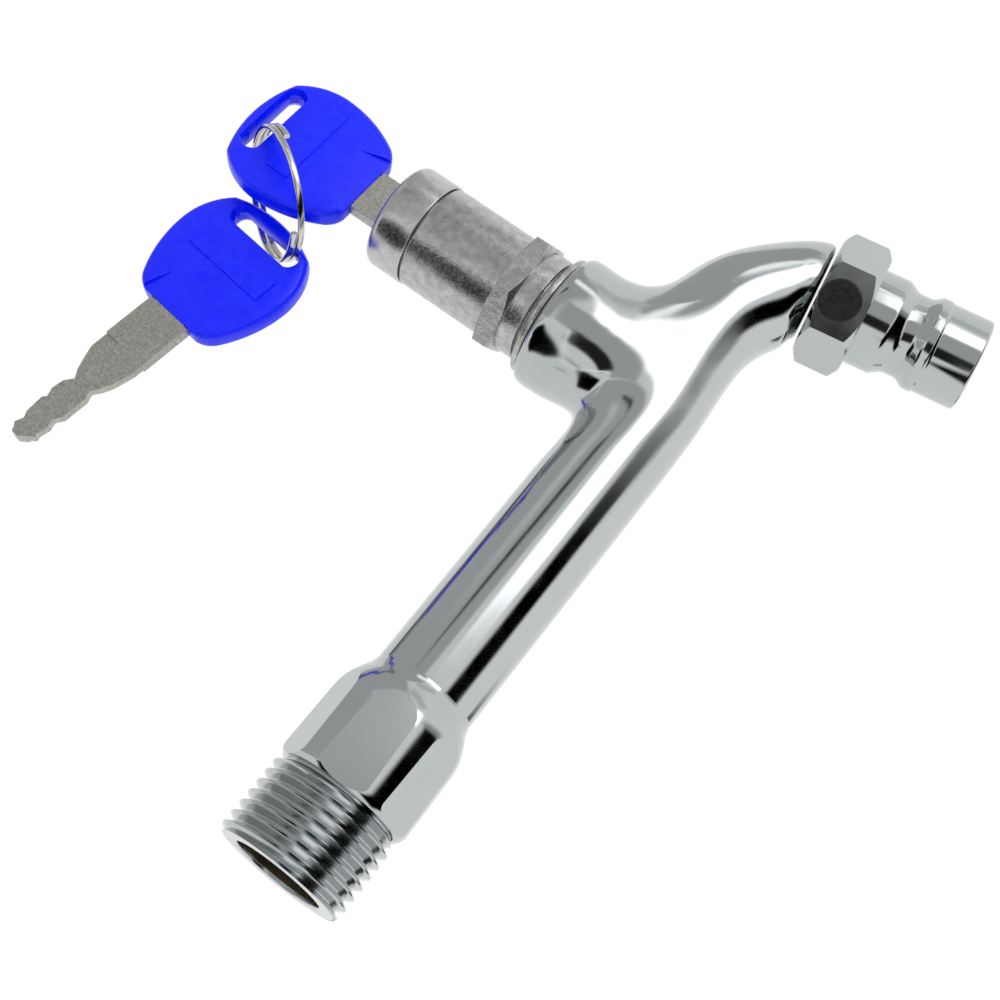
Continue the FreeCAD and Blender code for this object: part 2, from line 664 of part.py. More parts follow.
for name, low in (("lower", "15.45"), ("upper", "18.65")):
    ring = seal_ring(f"{name}_o_ring", "spindle_r - 0.98", "spindle_r + running_gap - 0.02", low, f"{low} + 1.3")
    node(f"spindle_seal_{name}", stand(ring, y="-inlet_to_lock"))

# Lock plug: head and nose turned with it, a keyway down the middle, a square socket for
# the spindle, and a slot across for each tumbler.
plug_blank = turned("plug_turned", [
    ("0", "plug_base"),
    ("plug_r", "plug_base"),
    ("plug_r", "barrel_top + 0.15"),
    ("plug_head_r", "barrel_top + 0.15"),
    ("plug_head_r", "spigot_top"),
    ("plug_nose_r", "spigot_top"),
    ("plug_nose_r", "plug_face - 0.3"),
    ("plug_nose_r - 0.3", "plug_face"),
    ("0", "plug_face"),
])
keyway = fuse("keyway",
              block("keyway_mouth", "keyway_width", "keyway_height", "plug_face - keyway_step + 1", z="keyway_step"),
              block("keyway_deep", "keyway_width", "bit_width + 0.6", "plug_face - keyway_floor", z="keyway_floor"))
socket = block("socket", "4.7", "4.7", "3.3", z="plug_base - 1")
levels = [f"tumbler_first + {number} * tumbler_pitch" for number in range(4)]
slots = [block(f"tumbler_slot_{number}", "tumbler_width + 0.1", "2 * plug_r + 1", "tumbler_thick + 0.1",
               z=f"{level} - 0.05") for number, level in enumerate(levels)]
node("lock_plug", stand(cut("plug", plug_blank, keyway, socket, *slots), y="-inlet_to_lock", turn="rest_turn"))

# Tumblers: flat wafers with a window that the key's blade passes. Every second one springs
# the other way, so they make two groups.
for group, numbers in (("near", (0, 2)), ("far", (1, 3))):
    wafers = []
    for number in numbers:
        wafer = block(f"wafer_plate_{number}", "tumbler_width", "2 * plug_r + 1", "tumbler_thick", z=levels[number])
        rim = cylinder(f"wafer_rim_{number}", "plug_r - 0.03", "tumbler_thick", levels[number])
        window = block(f"wafer_window_{number}", "keyway_width + 0.5", "bit_width + 2 * tumbler_travel + 0.16",
                       "tumbler_thick + 2", z=f"{levels[number]} - 1")
        wafers.append(cut(f"wafer_{number}", common(f"wafer_disc_{number}", wafer, rim), window))
    pair = doc.addObject("Part::Compound", f"tumblers_{group}_pair")
    pair.Links = wafers
    doc.recompute()
    node(f"tumblers_{group}", stand(pair, y="-inlet_to_lock", turn="rest_turn"))

# Keys. In a key's own frame X is square to its flat sides, Y runs across it and Z runs from
# the blade to the far end of the bow; the origin is the middle of the bow's straight edge.
BOW = [
    ("-bow_base_half", "0"),
    ("bow_base_half", "0", "4.8"),
    ("bow_hip_half", "bow_hip", "23"),
    ("bow_half", "bow_widest", "12.3"),
    ("bow_crown_half", "bow_crown", "22.3"),
    ("-bow_crown_half", "bow_crown", "12.3"),
    ("-bow_half", "bow_widest", "23"),
    ("-bow_hip_half", "bow_hip", "4.8"),
]
SLOT_LOW, SLOT_HIGH = "slot_centre - slot_height / 2", "slot_centre + slot_height / 2"
SLOT = [
    ("slot_shift - slot_length / 2 + slot_height / 2", SLOT_LOW),
    ("slot_shift + slot_length / 2 - slot_height / 2", SLOT_LOW, "slot_height / 2 + 0.001"),
    ("slot_shift + slot_length / 2 - slot_height / 2", SLOT_HIGH),
    ("slot_shift - slot_length / 2 + slot_height / 2", SLOT_HIGH, "slot_height / 2 + 0.001"),
]
# The blade tapers from its full width to the bitted part, with cuts along both edges.
BLADE = [
    ("tang_width / 2", "0"),
    ("tang_width / 2", "tang_length"),
    ("-tang_width / 2", "tang_length"),
    ("-tang_width / 2", "0"),
    ("-blade_width / 2", "0"),
    ("-blade_width / 2", "-11.2"),
    ("-3.7", "-15"),
    ("-3", "-16.7"),
    ("-2.1", "-18.1"),
    ("-2.7", "-19.5"),
    ("-2.7", "-24"),
    ("-1.9", "-25.4"),
    ("-2.4", "-26.7"),
    ("-2.1", "-28.6"),
    ("-2.4", "-29.3"),
    ("-0.2", "-blade_length"),
    ("1", "-blade_length"),
    ("2.4", "-29.8"),
    ("1.9", "-28.3"),
    ("2.5", "-27.3"),
    ("2.8", "-24"),
    ("2.3", "-23.4"),
    ("2.9", "-21.9"),
    ("2.7", "-19.8"),
    ("1.7", "-18.3"),
    ("2.7", "-16.9"),
    ("3.6", "-14.8"),
    ("blade_width / 2", "-12.6"),
    ("blade_width / 2", "0"),
]


def key(name):
    """The blade and the moulded bow of one key, in the key's own frame."""
    bow = plate(f"{name}_bow_plate", BOW, "bow_thick")
    pad = bow.Tip
    flats = [f"Face{number}" for number, face in enumerate(pad.Shape.Faces, start=1)
             if abs(face.normalAt(0, 0).x) > 0.99]
    edge = bow.newObject("PartDesign::Fillet", f"{name}_bow_round")
    edge.Base = (pad, flats)
    bind(edge, Radius="bow_round")
    doc.recompute()
    opening = plate(f"{name}_slot", SLOT, "bow_thick + 2")
    panel = block(f"{name}_panel", "bow_thick + 0.5", "16", "4.4", y="-0.6", z="10.8")
    tang = block(f"{name}_tang_pocket", "blade_thick", "tang_width", "tang_length + 1", z="-1")
    facets = []
    for side in (0, 1):
        facet = doc.addObject("Part::Wedge", f"{name}_facet_{side + 1}")
        facet.Placement = Placement(Vector(), Rotation(Vector(0, 0, 1), 180 * side) * Rotation(Vector(1, 0, 0), 90))
        bind(facet, Xmin="bow_thick / 2 - facet_depth", Xmax="bow_thick / 2 + 1", Ymin="-0.1", Ymax="facet_top",
             Zmin="-facet_low_half", Zmax="facet_low_half")
        bind(facet, X2min="bow_thick / 2", X2max="bow_thick / 2 + 1", Z2min="-facet_high_half", Z2max="facet_high_half")
        facets.append(facet)
    moulded = cut(f"{name}_moulding", fuse(f"{name}_bow_and_panel", bow, panel), opening, tang, *facets)
    steps = [block(f"{name}_step_{side + 2}", "2", "4", "22", x=f"{side} * (blade_thick / 2 - step_depth + 1)",
                   y=f"{-side} * 3.45", z="-31.5") for side in (-1, 1)]
    blade = cut(f"{name}_milled", plate(f"{name}_blank", BLADE, "blade_thick"), *steps)
    return blade, moulded


def home(item):
    """Puts a piece of the first key into the lock, pushed home."""
    return stand(item, y="-inlet_to_lock", z="shoulder", turn="rest_turn")


for name, item in zip(("key_1_blade", "key_1_bow"), key("first_key")):
    node(name, home(item))
HANGING = Placement(Vector(6.27, -59.77, 71.84),
                    Rotation(Vector(0.998, -0.022, -0.058), Vector(0.054, -0.147, 0.988), Vector(), "XYZ"))
for name, item in zip(("key_2_blade", "key_2_bow"), key("second_key")):
    item.Placement = HANGING
    node(name, item)


def biarc(start, heading, end, arrival):
    """Two arcs that leave a point in one direction and reach another in a second one."""
    way = end - start
    turn = 1 - heading.dot(arrival)
    across = way.dot(heading + arrival)
    reach = (math.sqrt(across ** 2 + 2 * turn * way.dot(way)) - across) / (2 * turn)
    first, second = start + heading * reach, end - arrival * reach
    joint = (first + second) / 2
    arcs = []
    for near, corner, far in ((start, first, joint), (joint, second, end)):
        middle = (near + far) / 2
        sine = (corner - middle).Length / reach
        rise = reach * math.sqrt(1 - sine ** 2) / sine * (1 - math.sqrt(1 - sine ** 2))
        arcs.append(Part.Arc(near, middle + (corner - middle).normalize() * rise, far).toShape())
    return arcs


def split_ring():
    """Two flat turns of wire side by side, joined by a quarter turn that steps across."""
    radius, wire, pitch = size("ring_mean_r"), size("ring_wire"), size("ring_pitch")
    quarters = 7
    stations = []
    for quarter in range(quarters + 1):
        angle = math.radians(45 + 90 * quarter)
        outward = Vector(math.cos(angle), math.sin(angle), 0)
        height = -pitch / 2 if quarter <= quarters // 2 else pitch / 2
        stations.append((outward * radius + Vector(0, 0, height), Vector(-outward.y, outward.x, 0)))
    start, heading = stations[0]
    end, leaving = stations[-1]
    path = [Part.LineSegment(start - heading * wire, start).toShape()]
    for (near, out), (far, into) in zip(stations, stations[1:]):
        path += biarc(near, out, far, into)
    path.append(Part.LineSegment(end, end + leaving * wire).toShape())
    spine = Part.Wire(path)
    section = Part.Wire([Part.Circle(start - heading * wire, heading, wire / 2).toShape()])
    spots = spine.discretize(Distance=0.25)
    step = spine.Length / (len(spots) - 1)
    apart = int(3 / step)
    gap = min((a - b).Length for i, a in enumerate(spots) for b in spots[i + apart:]) - wire
    print("split ring: wire length", round(spine.Length, 1), "mm, least gap to itself", round(gap, 3), "mm")
    return spine.makePipeShell([section], True, False)


ring = doc.addObject("Part::Feature", "ring_winding")
ring.Shape = split_ring()
ring.Placement = Placement(Vector(0.53, -85.67, 70.69),
                           Rotation(Vector(-0.877, 0.079, -0.477), Vector(), Vector(-0.249, 0.785, 0.568), "ZXY"))
node("split_ring", ring)

doc.recompute()
for item in doc.Objects:
    if "Invalid" in item.State or "Error" in item.State:
        raise RuntimeError(f"{item.Name} failed: {item.getStatusString()}")
for name, item in nodes.items():
    if item.Shape.isNull() or not item.Shape.isValid():
        raise RuntimeError(f"{name} has no valid shape")
os.makedirs("parts", exist_ok=True)
for name, item in nodes.items():
    print(name, round(item.Shape.Volume, 1), "mm3 in", len(item.Shape.Solids))
    item.Shape.exportStep(f"parts/{name}.step")
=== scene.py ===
import bmesh
import bpy
import json
import math
from mathutils import Matrix, Vector


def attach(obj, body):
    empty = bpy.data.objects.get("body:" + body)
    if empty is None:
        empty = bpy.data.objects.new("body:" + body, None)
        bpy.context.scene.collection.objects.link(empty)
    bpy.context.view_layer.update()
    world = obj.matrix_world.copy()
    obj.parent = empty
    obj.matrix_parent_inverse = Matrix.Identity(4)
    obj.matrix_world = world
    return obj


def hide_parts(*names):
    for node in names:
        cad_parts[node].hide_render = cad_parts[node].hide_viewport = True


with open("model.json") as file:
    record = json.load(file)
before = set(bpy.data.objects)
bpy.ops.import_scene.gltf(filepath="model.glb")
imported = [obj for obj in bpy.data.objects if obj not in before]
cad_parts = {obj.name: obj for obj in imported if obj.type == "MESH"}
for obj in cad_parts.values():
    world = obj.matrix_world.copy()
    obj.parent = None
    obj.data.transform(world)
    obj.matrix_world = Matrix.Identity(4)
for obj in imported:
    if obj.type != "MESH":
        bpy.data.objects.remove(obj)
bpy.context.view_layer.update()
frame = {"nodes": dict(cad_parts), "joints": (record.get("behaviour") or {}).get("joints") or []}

# Inlet thread: the end of the brass casting that screws into the wall fitting. The thread
# is cut on the casting, chamfered at its end, and chrome plated with the rest. Meshes are
# drawn in millimetres about their own Z axis and set in place in metres.
MM = 0.001
INLET_AXIS = Matrix.Rotation(math.radians(90), 4, "X")


def new_material(name):
    """A material with its principled shader, its nodes and its links."""
    material = bpy.data.materials.new(name)
    material.use_nodes = True
    nodes = material.node_tree.nodes
    return material, nodes, material.node_tree.links, nodes["Principled BSDF"]


def grain(nodes, links, size, detail=4.0, stretch=(1, 1, 1)):
    """Noise fixed to the piece, with patches of a size in millimetres."""
    where = nodes.new("ShaderNodeTexCoord")
    scaled = nodes.new("ShaderNodeMapping")
    scaled.inputs["Scale"].default_value = stretch
    noise = nodes.new("ShaderNodeTexNoise")
    noise.inputs["Scale"].default_value = 1 / (size * MM)
    noise.inputs["Detail"].default_value = detail
    links.new(where.outputs["Object"], scaled.inputs["Vector"])
    links.new(scaled.outputs["Vector"], noise.inputs["Vector"])
    return noise


def spread(nodes, links, noise, low, high):
    """Turns a noise into values from low to high."""
    span = nodes.new("ShaderNodeMapRange")
    span.inputs["From Min"].default_value = 0.3
    span.inputs["From Max"].default_value = 0.7
    span.inputs["To Min"].default_value = low
    span.inputs["To Max"].default_value = high
    links.new(noise.outputs["Fac"], span.inputs["Value"])
    return span.outputs["Result"]


def blotched(nodes, links, noise, dark, light):
    """Turns a noise into shades between two colours."""
    ramp = nodes.new("ShaderNodeValToRGB")
    ramp.color_ramp.elements[0].position = 0.3
    ramp.color_ramp.elements[0].color = (*dark, 1)
    ramp.color_ramp.elements[1].position = 0.7
    ramp.color_ramp.elements[1].color = (*light, 1)
    links.new(noise.outputs["Fac"], ramp.inputs["Fac"])
    return ramp.outputs["Color"]


def relief(nodes, links, shader, noise, depth, under=None):
    """Lets a noise raise the surface by a depth in millimetres, over another relief if given."""
    bump = nodes.new("ShaderNodeBump")
    bump.inputs["Distance"].default_value = depth * MM
    links.new(noise.outputs["Fac"], bump.inputs["Height"])
    if under is not None:
        links.new(under.outputs["Normal"], bump.inputs["Normal"])
    links.new(bump.outputs["Normal"], shader.inputs["Normal"])
    return bump


def mottled(name, metallic, patch, dark, light, smear, smooth, rough, reliefs=()):
    """A material blotched between two colours and, by a second noise, between two
    roughnesses. Patch, smear and a relief's first part give the size, detail and stretch of
    their grain, and a relief's second part is its depth in millimetres."""
    material, nodes, links, shader = new_material(name)
    shader.inputs["Metallic"].default_value = metallic
    colour = blotched(nodes, links, grain(nodes, links, *patch), dark, light)
    links.new(colour, shader.inputs["Base Color"])
    gloss = spread(nodes, links, grain(nodes, links, *smear), smooth, rough)
    links.new(gloss, shader.inputs["Roughness"])
    under = None
    for noise, depth in reliefs:
        under = relief(nodes, links, shader, grain(nodes, links, *noise), depth, under)
    return material


def chrome_plate(name, waviness, haze):
    """Bright chrome over polished brass, with the faint waves that polishing leaves."""
    return mottled(name, 1, (14, 2), (0.455, 0.485, 0.485), (0.485, 0.505, 0.515), (3.5, 5), haze * 0.6,
                   haze * 1.3, (((9, 1), waviness), ((0.7, 3), waviness * 0.012)))


def turned(corners, steps=144):
    """A wall turned about Z from corners of radius, height and, where one is rounded, how
    far the rounding reaches. An outline that starts and ends on the axis makes a solid."""
    bm = bmesh.new()
    verts = [bm.verts.new((corner[0], 0, corner[1])) for corner in corners]
    ring = list(zip(verts, verts[1:] + verts[:1]))
    on_axis = corners[0][0] == 0 and corners[-1][0] == 0
    for a, b in ring[:-1] if on_axis else ring:
        bm.edges.new((a, b))
    for vert, corner in zip(verts, corners):
        if len(corner) > 2:
            bmesh.ops.bevel(bm, geom=[vert], offset=corner[2], offset_type="OFFSET", segments=5,
                            profile=0.5, affect="VERTICES", clamp_overlap=True, material=-1)
    bmesh.ops.spin(bm, geom=bm.verts[:] + bm.edges[:], cent=(0, 0, 0), axis=(0, 0, 1),
                   angle=2 * math.pi, steps=steps, use_merge=True)
    bmesh.ops.remove_doubles(bm, verts=bm.verts[:], dist=1e-5)
    bmesh.ops.recalc_face_normals(bm, faces=bm.faces[:])
    return bm


def added(bm, other):
    """Puts the mesh of a second piece beside the first one's."""
    mesh = bpy.data.meshes.new("part_of_piece")
    other.to_mesh(mesh)
    other.free()
    bm.from_mesh(mesh)
    bpy.data.meshes.remove(mesh)
    return bm


def settled(name, bm, place, material, sharp=28):
    """An object in metres from a mesh in millimetres, smooth but for its sharp edges."""
    bm.transform(place @ Matrix.Scale(MM, 4))
    for face in bm.faces:
        face.smooth = True
    for edge in bm.edges:
        edge.smooth = len(edge.link_faces) == 2 and edge.calc_face_angle(0) < math.radians(sharp)
    mesh = bpy.data.meshes.new(name)
    bm.to_mesh(mesh)
    bm.free()
    mesh.materials.append(material)
    item = bpy.data.objects.new(name, mesh)
    bpy.context.scene.collection.objects.link(item)
    return item


def fitted(item, body, slot, *nodes):
    """Makes a piece ride with its body and stand for its CAD nodes, which it hides; the slot is not used."""
    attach(item, body)
    if nodes:
        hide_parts(*nodes)
    return item


def broken_edges(item, width, angle=24):
    """Breaks a piece's sharp edges, as tumbling and plating do."""
    bevel = item.modifiers.new("broken edges", "BEVEL")
    bevel.width = width * MM
    bevel.segments = 3
    bevel.limit_method = "ANGLE"
    bevel.angle_limit = math.radians(angle)
    bevel.harden_normals = True
    return item


THREAD_R, ROOT_R, PITCH = 10.48, 9.32, 1.814
THREAD_END, BORE_R, BORE_DEPTH = 13.0, 7.25, 22.0
CHAMFER, ROOT_START, OVERLAP = 0.55, 0.5, 2
RUNOUT, RUNOUT_SLOPE = 1, 0.9
TURNS, STEPS_PER_TURN, LEAD_IN, TOOTH_START = 8, 96, 0.7, 0.02
HALF_TOOTH = (
    # radius, and how many pitches away from the tooth's middle
    (ROOT_R - 0.2, 0.58), (ROOT_R, 0.46), (THREAD_R - 0.16, 0.11), (THREAD_R, 0.05),
)
chrome = chrome_plate("chrome_plate", 0.03, 0.10)
cut_chrome = chrome_plate("chrome_on_cut_thread", 0.02, 0.16)

stub = turned([(BORE_R, 0, 0.25), (THREAD_R - CHAMFER, 0, 0.15), (ROOT_R, ROOT_START),
               (ROOT_R, THREAD_END + OVERLAP), (BORE_R, THREAD_END + OVERLAP)])
tooth = bmesh.new()
section = [tooth.verts.new((radius, 0, -PITCH * away)) for radius, away in HALF_TOOTH]
section += [tooth.verts.new((radius, 0, PITCH * away)) for radius, away in reversed(HALF_TOOTH)]
edges = [tooth.edges.new(pair) for pair in zip(section, section[1:])]
bmesh.ops.spin(tooth, geom=section + edges, cent=(0, 0, 0), axis=(0, 0, 1),
               dvec=(0, 0, PITCH / STEPS_PER_TURN), angle=2 * math.pi * TURNS, steps=STEPS_PER_TURN * TURNS)
bmesh.ops.translate(tooth, verts=tooth.verts[:], vec=(0, 0, -PITCH * LEAD_IN))
for low, side in ((TOOTH_START, -1), (THREAD_END, 1)):
    bmesh.ops.bisect_plane(tooth, geom=tooth.verts[:] + tooth.edges[:] + tooth.faces[:],
                           plane_co=(0, 0, low), plane_no=(0, 0, side), clear_outer=True)
for vert in tooth.verts:
    limit = THREAD_R - max(0, CHAMFER - vert.co.z, RUNOUT_SLOPE * (vert.co.z - THREAD_END + RUNOUT))
    if vert.co.xy.length > limit:
        vert.co.xy *= limit / vert.co.xy.length
bmesh.ops.recalc_face_normals(tooth, faces=tooth.faces[:])
inlet_thread = settled("inlet_thread", added(stub, tooth), INLET_AXIS, cut_chrome, 40)
fitted(inlet_thread, "tap", "chrome", "tap_body")

# Inlet hexagon: six flats for the wrench, milled on a turned blank that runs out in a
# rounded shoulder to the neck. The polishing wheel has softened all its edges.
HEX_START, HEX_RUNOUT, HEX_R, HEX_FLATS = 13.3, 28.4, 10.85, 20.1
HEX_EASE, HEX_EASE_RUN, HEX_TAPER = 0.9, 1.1, 0.2
NECK_R, UNDER_NECK_SKIN, SHOULDER_END, HEX_TAIL, WATERWAY_R = 8.35, 0.12, 32.0, 38, 4.2


def picked(items, kind):
    """The items of one kind among all that an operator gives back."""
    return [item for item in items if isinstance(item, kind)]


def flatten_sides(bm, across, turn):
    """Mills six flats on a turned blank, the first one's middle at a turn in degrees."""
    for side in range(6):
        angle = math.radians(turn + 60 * side)
        normal = Vector((math.cos(angle), math.sin(angle), 0))
        cut = bmesh.ops.bisect_plane(bm, geom=bm.verts[:] + bm.edges[:] + bm.faces[:], dist=1e-5,
                                     plane_co=normal * across / 2, plane_no=normal, clear_outer=True)
        bmesh.ops.holes_fill(bm, edges=picked(cut["geom_cut"], bmesh.types.BMEdge), sides=0)
    bmesh.ops.recalc_face_normals(bm, faces=bm.faces[:])
    return bm


blank = turned([(BORE_R, HEX_START), (HEX_R - HEX_EASE, HEX_START, 0.3),
                (HEX_R, HEX_START + HEX_EASE_RUN, 0.6), (HEX_R - HEX_TAPER, HEX_RUNOUT, 2.6),
                (NECK_R - UNDER_NECK_SKIN, SHOULDER_END, 3.2), (NECK_R - UNDER_NECK_SKIN, HEX_TAIL),
                (WATERWAY_R, HEX_TAIL), (WATERWAY_R, BORE_DEPTH + 1), (BORE_R, BORE_DEPTH)])
inlet_hexagon = settled("inlet_hexagon", flatten_sides(blank, HEX_FLATS, 0), INLET_AXIS, chrome, 12)
fitted(broken_edges(inlet_hexagon, 0.8, 9), "tap", "chrome", "tap_body")

# Cast body: the straight neck, the upright boss for the lock and the spout that bends down
# behind it, one brass casting blended at its joins, ground, polished and plated.
LOCK_RUN, BOSS_R, BOSS_TOP = 94.7, 11.6, 21.3
BOSS_SHOULDER, BOSS_FOOT, BOSS_FOOT_R = 11.5, -4, 6.6
STATIONS = (
    # run along the neck, height, half width, half height, slope downwards in degrees
    (29, 0, NECK_R, NECK_R, 0),
    (29.4, 0, NECK_R, NECK_R, 0),
    (40, 0, NECK_R, NECK_R, 0),
    (55, 0, NECK_R, NECK_R, 0),
    (70, 0, NECK_R, NECK_R, 0),
    (80, 0, NECK_R, NECK_R, 0),
    (86, 0, NECK_R, NECK_R, 0),
    (91.5, 0.15, 8.4, 8.4, -4),
    (98.5, 0.95, 8.6, 8.6, -8),
    (105.5, 1.8, 9.05, 9.05, 0),
    (111.5, 0.95, 9.1, 9.1, 16),
    (117, -1.4, 8.85, 8.85, 32),
    (121.5, -5.1, 8.65, 8.65, 52),
    (124.1, -7.1, 8.5, 8.5, 70),
)
THROAT = (
    # the bend in which the boss runs on into the spout, written as the stations above are
    (LOCK_RUN, 19.5, 11.2, 11.2, 90),
    (95.3, 14.5, 10.9, 10.9, 78),
    (97.2, 9.8, 10.2, 10.2, 62),
    (100.6, 5.5, 9.5, 9.5, 46),
    (105.5, 2.3, 9.1, 9.1, 30),
    (112, 0.2, 8.7, 8.7, 24),
)
LEAN = math.radians(80.6)
NOZZLE_END = Vector((0, -129.73, -36.52))
UP_NOZZLE = Vector((0, math.cos(LEAN), math.sin(LEAN)))
NOZZLE_LENGTH = 27.1
SPOUT_RIM = (
    # height above the nozzle's upper end, radius
    (1.2, 8.5), (0.5, 8.3), (0.4, 7.9),
)
CAGE_SIDES = 24
# Subdivision draws a ring of vertices in, so the cage is drawn larger by this share.
CAGE_SWELL = 6 / (4 + 2 * math.cos(2 * math.pi / CAGE_SIDES))
VOXEL = 0.45
CREASE, SEAM_NEAR, SEAM_FAR, SEAM_BOTTOM, SEAM_TOP = 0.12, 78, 118, -9, 15.5
BLENDING = (
    # rings of vertices by which the seam widens, and the smoothing strokes it then gets
    (12, 200), (5, 70), (5, 35), (6, 20),
)
POLISHING_STROKES = 12


def baked(bm, kind, **settings):
    """The mesh that a modifier makes of a piece."""
    mesh = bpy.data.meshes.new("before")
    bm.to_mesh(mesh)
    bm.free()
    item = bpy.data.objects.new("before", mesh)
    bpy.context.scene.collection.objects.link(item)
    modifier = item.modifiers.new("work", kind)
    for key, value in settings.items():
        setattr(modifier, key, value)
    after = bpy.data.meshes.new_from_object(item.evaluated_get(bpy.context.evaluated_depsgraph_get()))
    bpy.data.objects.remove(item)
    bpy.data.meshes.remove(mesh)
    made = bmesh.new()
    made.from_mesh(after)
    bpy.data.meshes.remove(after)
    return made


def stations(rows):
    """Places and half sizes of the sections in a list of stations."""
    return [(Matrix.Translation((0, -run, height)) @ Matrix.Rotation(math.radians(90 + slope), 4, "X"),
             wide, tall) for run, height, wide, tall, slope in rows]


def edges_of(verts):
    """The edges that meet some vertices."""
    return list({edge for vert in verts for edge in vert.link_edges})


def cast_tube(places):
    """A smooth solid tube through round sections."""
    cage = bmesh.new()
    loops = []
    for place, wide, tall in places:
        swollen = place @ Matrix.Diagonal((wide * CAGE_SWELL, tall * CAGE_SWELL, 1, 1))
        made = bmesh.ops.create_circle(cage, segments=CAGE_SIDES, radius=1, matrix=swollen)
        loops.append(sorted(edges_of(made["verts"]), key=lambda edge: edge.index))
    for near, far in zip(loops, loops[1:]):
        bmesh.ops.bridge_loops(cage, edges=near + far)
    for end in (loops[0], loops[-1]):
        bmesh.ops.contextual_create(cage, geom=end)
    bmesh.ops.recalc_face_normals(cage, faces=cage.faces[:])
    return baked(cage, "SUBSURF", levels=3, render_levels=3)


def softened(bm, verts, strokes):
    """Draws vertices towards their neighbours, once for each stroke."""
    for stroke in range(strokes):
        bmesh.ops.smooth_vert(bm, verts=verts, factor=0.5, use_axis_x=True, use_axis_y=True, use_axis_z=True)


SPOUT_END = [(Matrix.Translation(NOZZLE_END + UP_NOZZLE * (NOZZLE_LENGTH + above))
              @ Matrix.Rotation(LEAN + math.radians(90), 4, "X"), radius, radius)
             for above, radius in SPOUT_RIM]
tube = added(cast_tube(stations(STATIONS) + SPOUT_END), cast_tube(stations(THROAT)))
boss = turned([(0, BOSS_FOOT), (BOSS_FOOT_R, BOSS_FOOT, 1), (BOSS_R, BOSS_SHOULDER, 7),
               (BOSS_R, BOSS_TOP, 0.7), (0, BOSS_TOP)])
bmesh.ops.translate(boss, verts=boss.verts[:], vec=(0, -LOCK_RUN, 0))
casting = baked(added(tube, boss), "REMESH", mode="VOXEL", voxel_size=VOXEL, adaptivity=0)
softened(casting, casting.verts[:], 1)
seam = {vert for edge in casting.edges if edge.calc_face_angle_signed(0) < -CREASE for vert in edge.verts}
seam = {vert for vert in seam if vert.co.z > SEAM_BOTTOM and -SEAM_FAR < vert.co.y < -SEAM_NEAR}
for rings, strokes in BLENDING:
    for ring in range(rings):
        seam |= {edge.other_vert(vert) for vert in seam if vert.co.z < SEAM_TOP for edge in vert.link_edges}
    softened(casting, list(seam), strokes)
softened(casting, casting.verts[:], POLISHING_STROKES)
cast_body = settled("cast_body", casting, Matrix.Identity(4), chrome, 60)
fitted(cast_body, "tap", "chrome", "tap_body")

# Hose nozzle: turned brass, screwed on the spout and held by a black set screw. The groove
# and the crest ring take a snap-on hose connector.
NOZZLE_AXIS = Matrix.Translation(NOZZLE_END * MM) @ Matrix.Rotation(LEAN - math.radians(90), 4, "X")
NOZZLE_BORE_R, STEM_R, CREST_R, GROOVE_R, SHANK_R = 5.0, 7.7, 7.95, 6.95, 8.1
NUT_BASE, NUT_FLATS, NUT_R, NUT_CHAMFER = 18.9, 19.6, 11.4, 1.3
SHANK_END, LINING_GAP = NUT_BASE + 0.6, 0.03
barb = turned([(NOZZLE_BORE_R, 0, 0.3), (STEM_R, 0, 0.5), (STEM_R, 6.95, 0.2), (CREST_R, 7.35, 0.15),
               (CREST_R, 8.8, 0.3), (GROOVE_R, 10.2, 0.5), (GROOVE_R, 12.7, 0.5), (SHANK_R, 14.6, 0.4),
               (SHANK_R, SHANK_END), (NOZZLE_BORE_R, SHANK_END)])
hose_nozzle = settled("hose_nozzle", barb, NOZZLE_AXIS, chrome)
fitted(hose_nozzle, "tap", "chrome", "hose_nozzle")

nut = turned([(NOZZLE_BORE_R, NUT_BASE), (NUT_R - 1.6, NUT_BASE, 0.1), (NUT_R, NUT_BASE + NUT_CHAMFER, 0.3),
              (NUT_R, NOZZLE_LENGTH - NUT_CHAMFER, 0.3), (NUT_R - 1.8, NOZZLE_LENGTH, 0.1),
              (NOZZLE_BORE_R, NOZZLE_LENGTH)])
nozzle_nut = settled("nozzle_nut", flatten_sides(nut, NUT_FLATS, 30), NOZZLE_AXIS, chrome, 12)
fitted(broken_edges(nozzle_nut, 0.14, 12), "tap", "chrome", "hose_nozzle")


def lining(radius, start, end):
    """A skin inside a bore, painted dark for the shade deep in it, open at its start and closed at its end,
    facing inwards.
    """
    bm = bmesh.new()
    mouth = bmesh.ops.create_circle(bm, segments=96, radius=radius, matrix=Matrix.Translation((0, 0, start)))
    wall = bmesh.ops.extrude_edge_only(bm, edges=edges_of(mouth["verts"]))["geom"]
    bmesh.ops.translate(bm, verts=picked(wall, bmesh.types.BMVert), vec=(0, 0, end - start))
    bottom = [edge for edge in picked(wall, bmesh.types.BMEdge) if len(edge.link_faces) == 1]
    bmesh.ops.contextual_create(bm, geom=bottom)
    bmesh.ops.recalc_face_normals(bm, faces=bm.faces[:])
    bmesh.ops.reverse_faces(bm, faces=bm.faces[:])
    return bm


# The bores' bare brass, its colour darkened far below brass to paint the shade inside them, with random
# blotches of tone.
bore_metal_painted_dark, nodes, links, shader = new_material("brass_bore_painted_shade")
shader.inputs["Metallic"].default_value = 1.0
shader.inputs["Roughness"].default_value = 0.42
stain_and_painted_shade = blotched(nodes, links, grain(nodes, links, 2, 4), (0.10, 0.075, 0.04), (0.19, 0.15, 0.09))
links.new(stain_and_painted_shade, shader.inputs["Base Color"])
for name, bore, place in (
        ("spout_bore", lining(NOZZLE_BORE_R - LINING_GAP, 0.5, NOZZLE_LENGTH), NOZZLE_AXIS),
        ("inlet_bore", lining(BORE_R - LINING_GAP, 0.6, BORE_DEPTH), INLET_AXIS)):
    fitted(settled(name, bore, place, bore_metal_painted_dark), "tap", "bare_brass")

